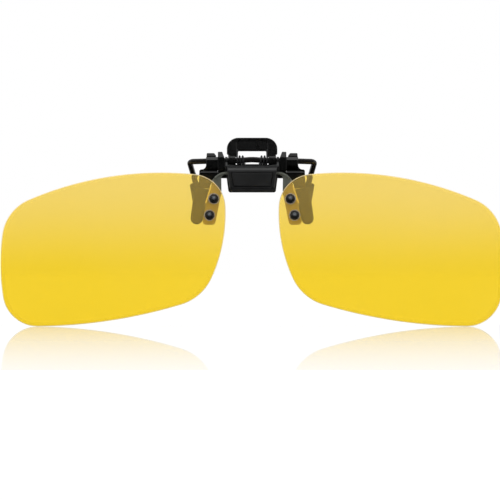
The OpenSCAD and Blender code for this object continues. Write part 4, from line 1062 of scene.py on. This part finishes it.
def white_acrylic(tree):
    """A polished white sheet: it takes a soft shadow and mirrors the object, more so at a flat angle."""
    rays = seen(tree)
    shades = {"data_type": "RGBA", 6: (0.7, 0.7, 0.7, 1), 7: (0.25, 0.25, 0.25, 1)}
    shade = add(tree, "Mix", shades, {0: rays})
    matte = add(tree, "BsdfDiffuse", links={"Color": shade.outputs[2]})
    glow = add(tree, "Emission", {"Color": (0.78, 0.78, 0.78, 1)}, {"Strength": rays})
    white = add(tree, "AddShader", links={0: matte, 1: glow})
    depth = add(tree, "SeparateXYZ", links={0: in_mm(tree)}).outputs["Y"]
    grows = {"From Min": MIRROR_FRONT, "From Max": 0, "To Min": MIRROR_LEAST, "To Max": MIRROR_MOST}
    share = add(tree, "MapRange", grows, {0: depth})
    near = add(tree, "Math", {"operation": "GREATER_THAN", 1: MIRROR_FRONT}, {0: depth})
    under = add(tree, "MapRange", {"From Min": MIRROR_BACK, "From Max": MIRROR_FADE}, {0: depth})
    fresnel = add(tree, "Fresnel", {"IOR": 1.5})
    flat = add(tree, "Math", {"operation": "POWER", 1: 2}, {0: fresnel})
    for factor in (near, under, flat):
        share = add(tree, "Math", {"operation": "MULTIPLY"}, {0: share, 1: factor})
    mirror = add(tree, "BsdfAnisotropic", {"Color": (1, 1, 1, 1), "Roughness": 0})
    return add(tree, "MixShader", links={0: share, 1: white, 2: mirror})


floor_mesh = bpy.data.meshes.new("floor")
out = FLOOR_HALF * MM
corners = [(x, y, FLOOR_Z * MM) for x, y in ((-out, -out), (out, -out), (out, out), (-out, out))]
floor_mesh.from_pydata(corners, [], [(0, 1, 2, 3)])
floor_mesh.materials.append(made("white_acrylic", white_acrylic))
floor = linked("floor", floor_mesh)

CARD_HALF, CARD_AWAY, CARD_TOP = 300, 150, 480
FRONT_SHADE, BACK_SHADE = 0.02, 0.2
FRONT_CARD_BACK, BACK_CARD_TOP, BACK_CARD_LOW = 80, 195, 24
# Two soft lamps shine on the front card, which give rounded corners their glints
LAMP_X, LAMP_Z, LAMP_R, LAMP_CORE_R, LAMP_SHADE = 78, 138, 30, 14, 2.4


def card_light(tree, shade, lamps=False):
    """The glow of a card's front. Its back is clear, so the floor still mirrors the object."""
    glow = add(tree, "Emission", {"Color": (1, 1, 1, 1), "Strength": shade})
    if lamps:
        either = add(tree, "VectorMath", {"operation": "ABSOLUTE"}, {0: in_mm(tree)})
        lamp = {"operation": "DISTANCE", 1: (LAMP_X, CARD_AWAY, LAMP_Z)}
        away = add(tree, "VectorMath", lamp, {0: either}).outputs["Value"]
        pool = {"interpolation_type": "SMOOTHSTEP", "From Min": LAMP_R, "From Max": LAMP_CORE_R,
                "To Min": shade, "To Max": LAMP_SHADE}
        spot = add(tree, "MapRange", pool, {0: away})
        tree.links.new(spot.outputs[0], glow.inputs["Strength"])
    clear = add(tree, "BsdfTransparent")
    side = add(tree, "NewGeometry").outputs["Backfacing"]
    return add(tree, "MixShader", links={0: side, 1: glow, 2: clear})


def card(name, edges, *light):
    """A bent card that only gloss sees."""
    points = [(x * MM, y * MM, z * MM) for y, z in edges for x in (-CARD_HALF, CARD_HALF)]
    mesh = bpy.data.meshes.new(name)
    mesh.from_pydata(points, [], [(i, i + 2, i + 3, i + 1) for i in range(0, len(points) - 2, 2)])
    piece = linked(name, mesh)
    for ray in ("camera", "diffuse", "transmission", "shadow"):
        setattr(piece, "visible_" + ray, False)
    mesh.materials.append(made(name, card_light, *light))


# A dark card lies and stands before the object, so that its black faces stay black
card_low = FLOOR_Z + 0.2
front_edges = [(FRONT_CARD_BACK, card_low), (-CARD_AWAY, card_low), (-CARD_AWAY, CARD_TOP)]
card("front_card", front_edges, FRONT_SHADE, True)
card("back_card", [(CARD_AWAY, BACK_CARD_TOP), (CARD_AWAY, BACK_CARD_LOW)], BACK_SHADE)

# The camera stands where the photograph's did: the hinge and the middle lie on the same pixels
PHOTO_SIDE_PX, MM_PER_PX, MIDDLE_PX, HINGE_PX = 500, 0.2672, 251.6, 160.2
CAMERA_AWAY, SENSOR = 3000, 36
optics = bpy.data.cameras.new("camera")
optics.sensor_width = SENSOR
optics.lens = SENSOR * CAMERA_AWAY / (PHOTO_SIDE_PX * MM_PER_PX)
camera = linked("camera", optics)
middle = (PHOTO_SIDE_PX - 1) / 2
right, up = (middle - MIDDLE_PX) * MM_PER_PX, AXIS_Z + (HINGE_PX - middle) * MM_PER_PX
camera.location = Vector((right, -CAMERA_AWAY, up)) * MM
camera.rotation_euler = (radians(90), 0, 0)
scene.camera = camera
scene.view_settings.view_transform = "Standard"
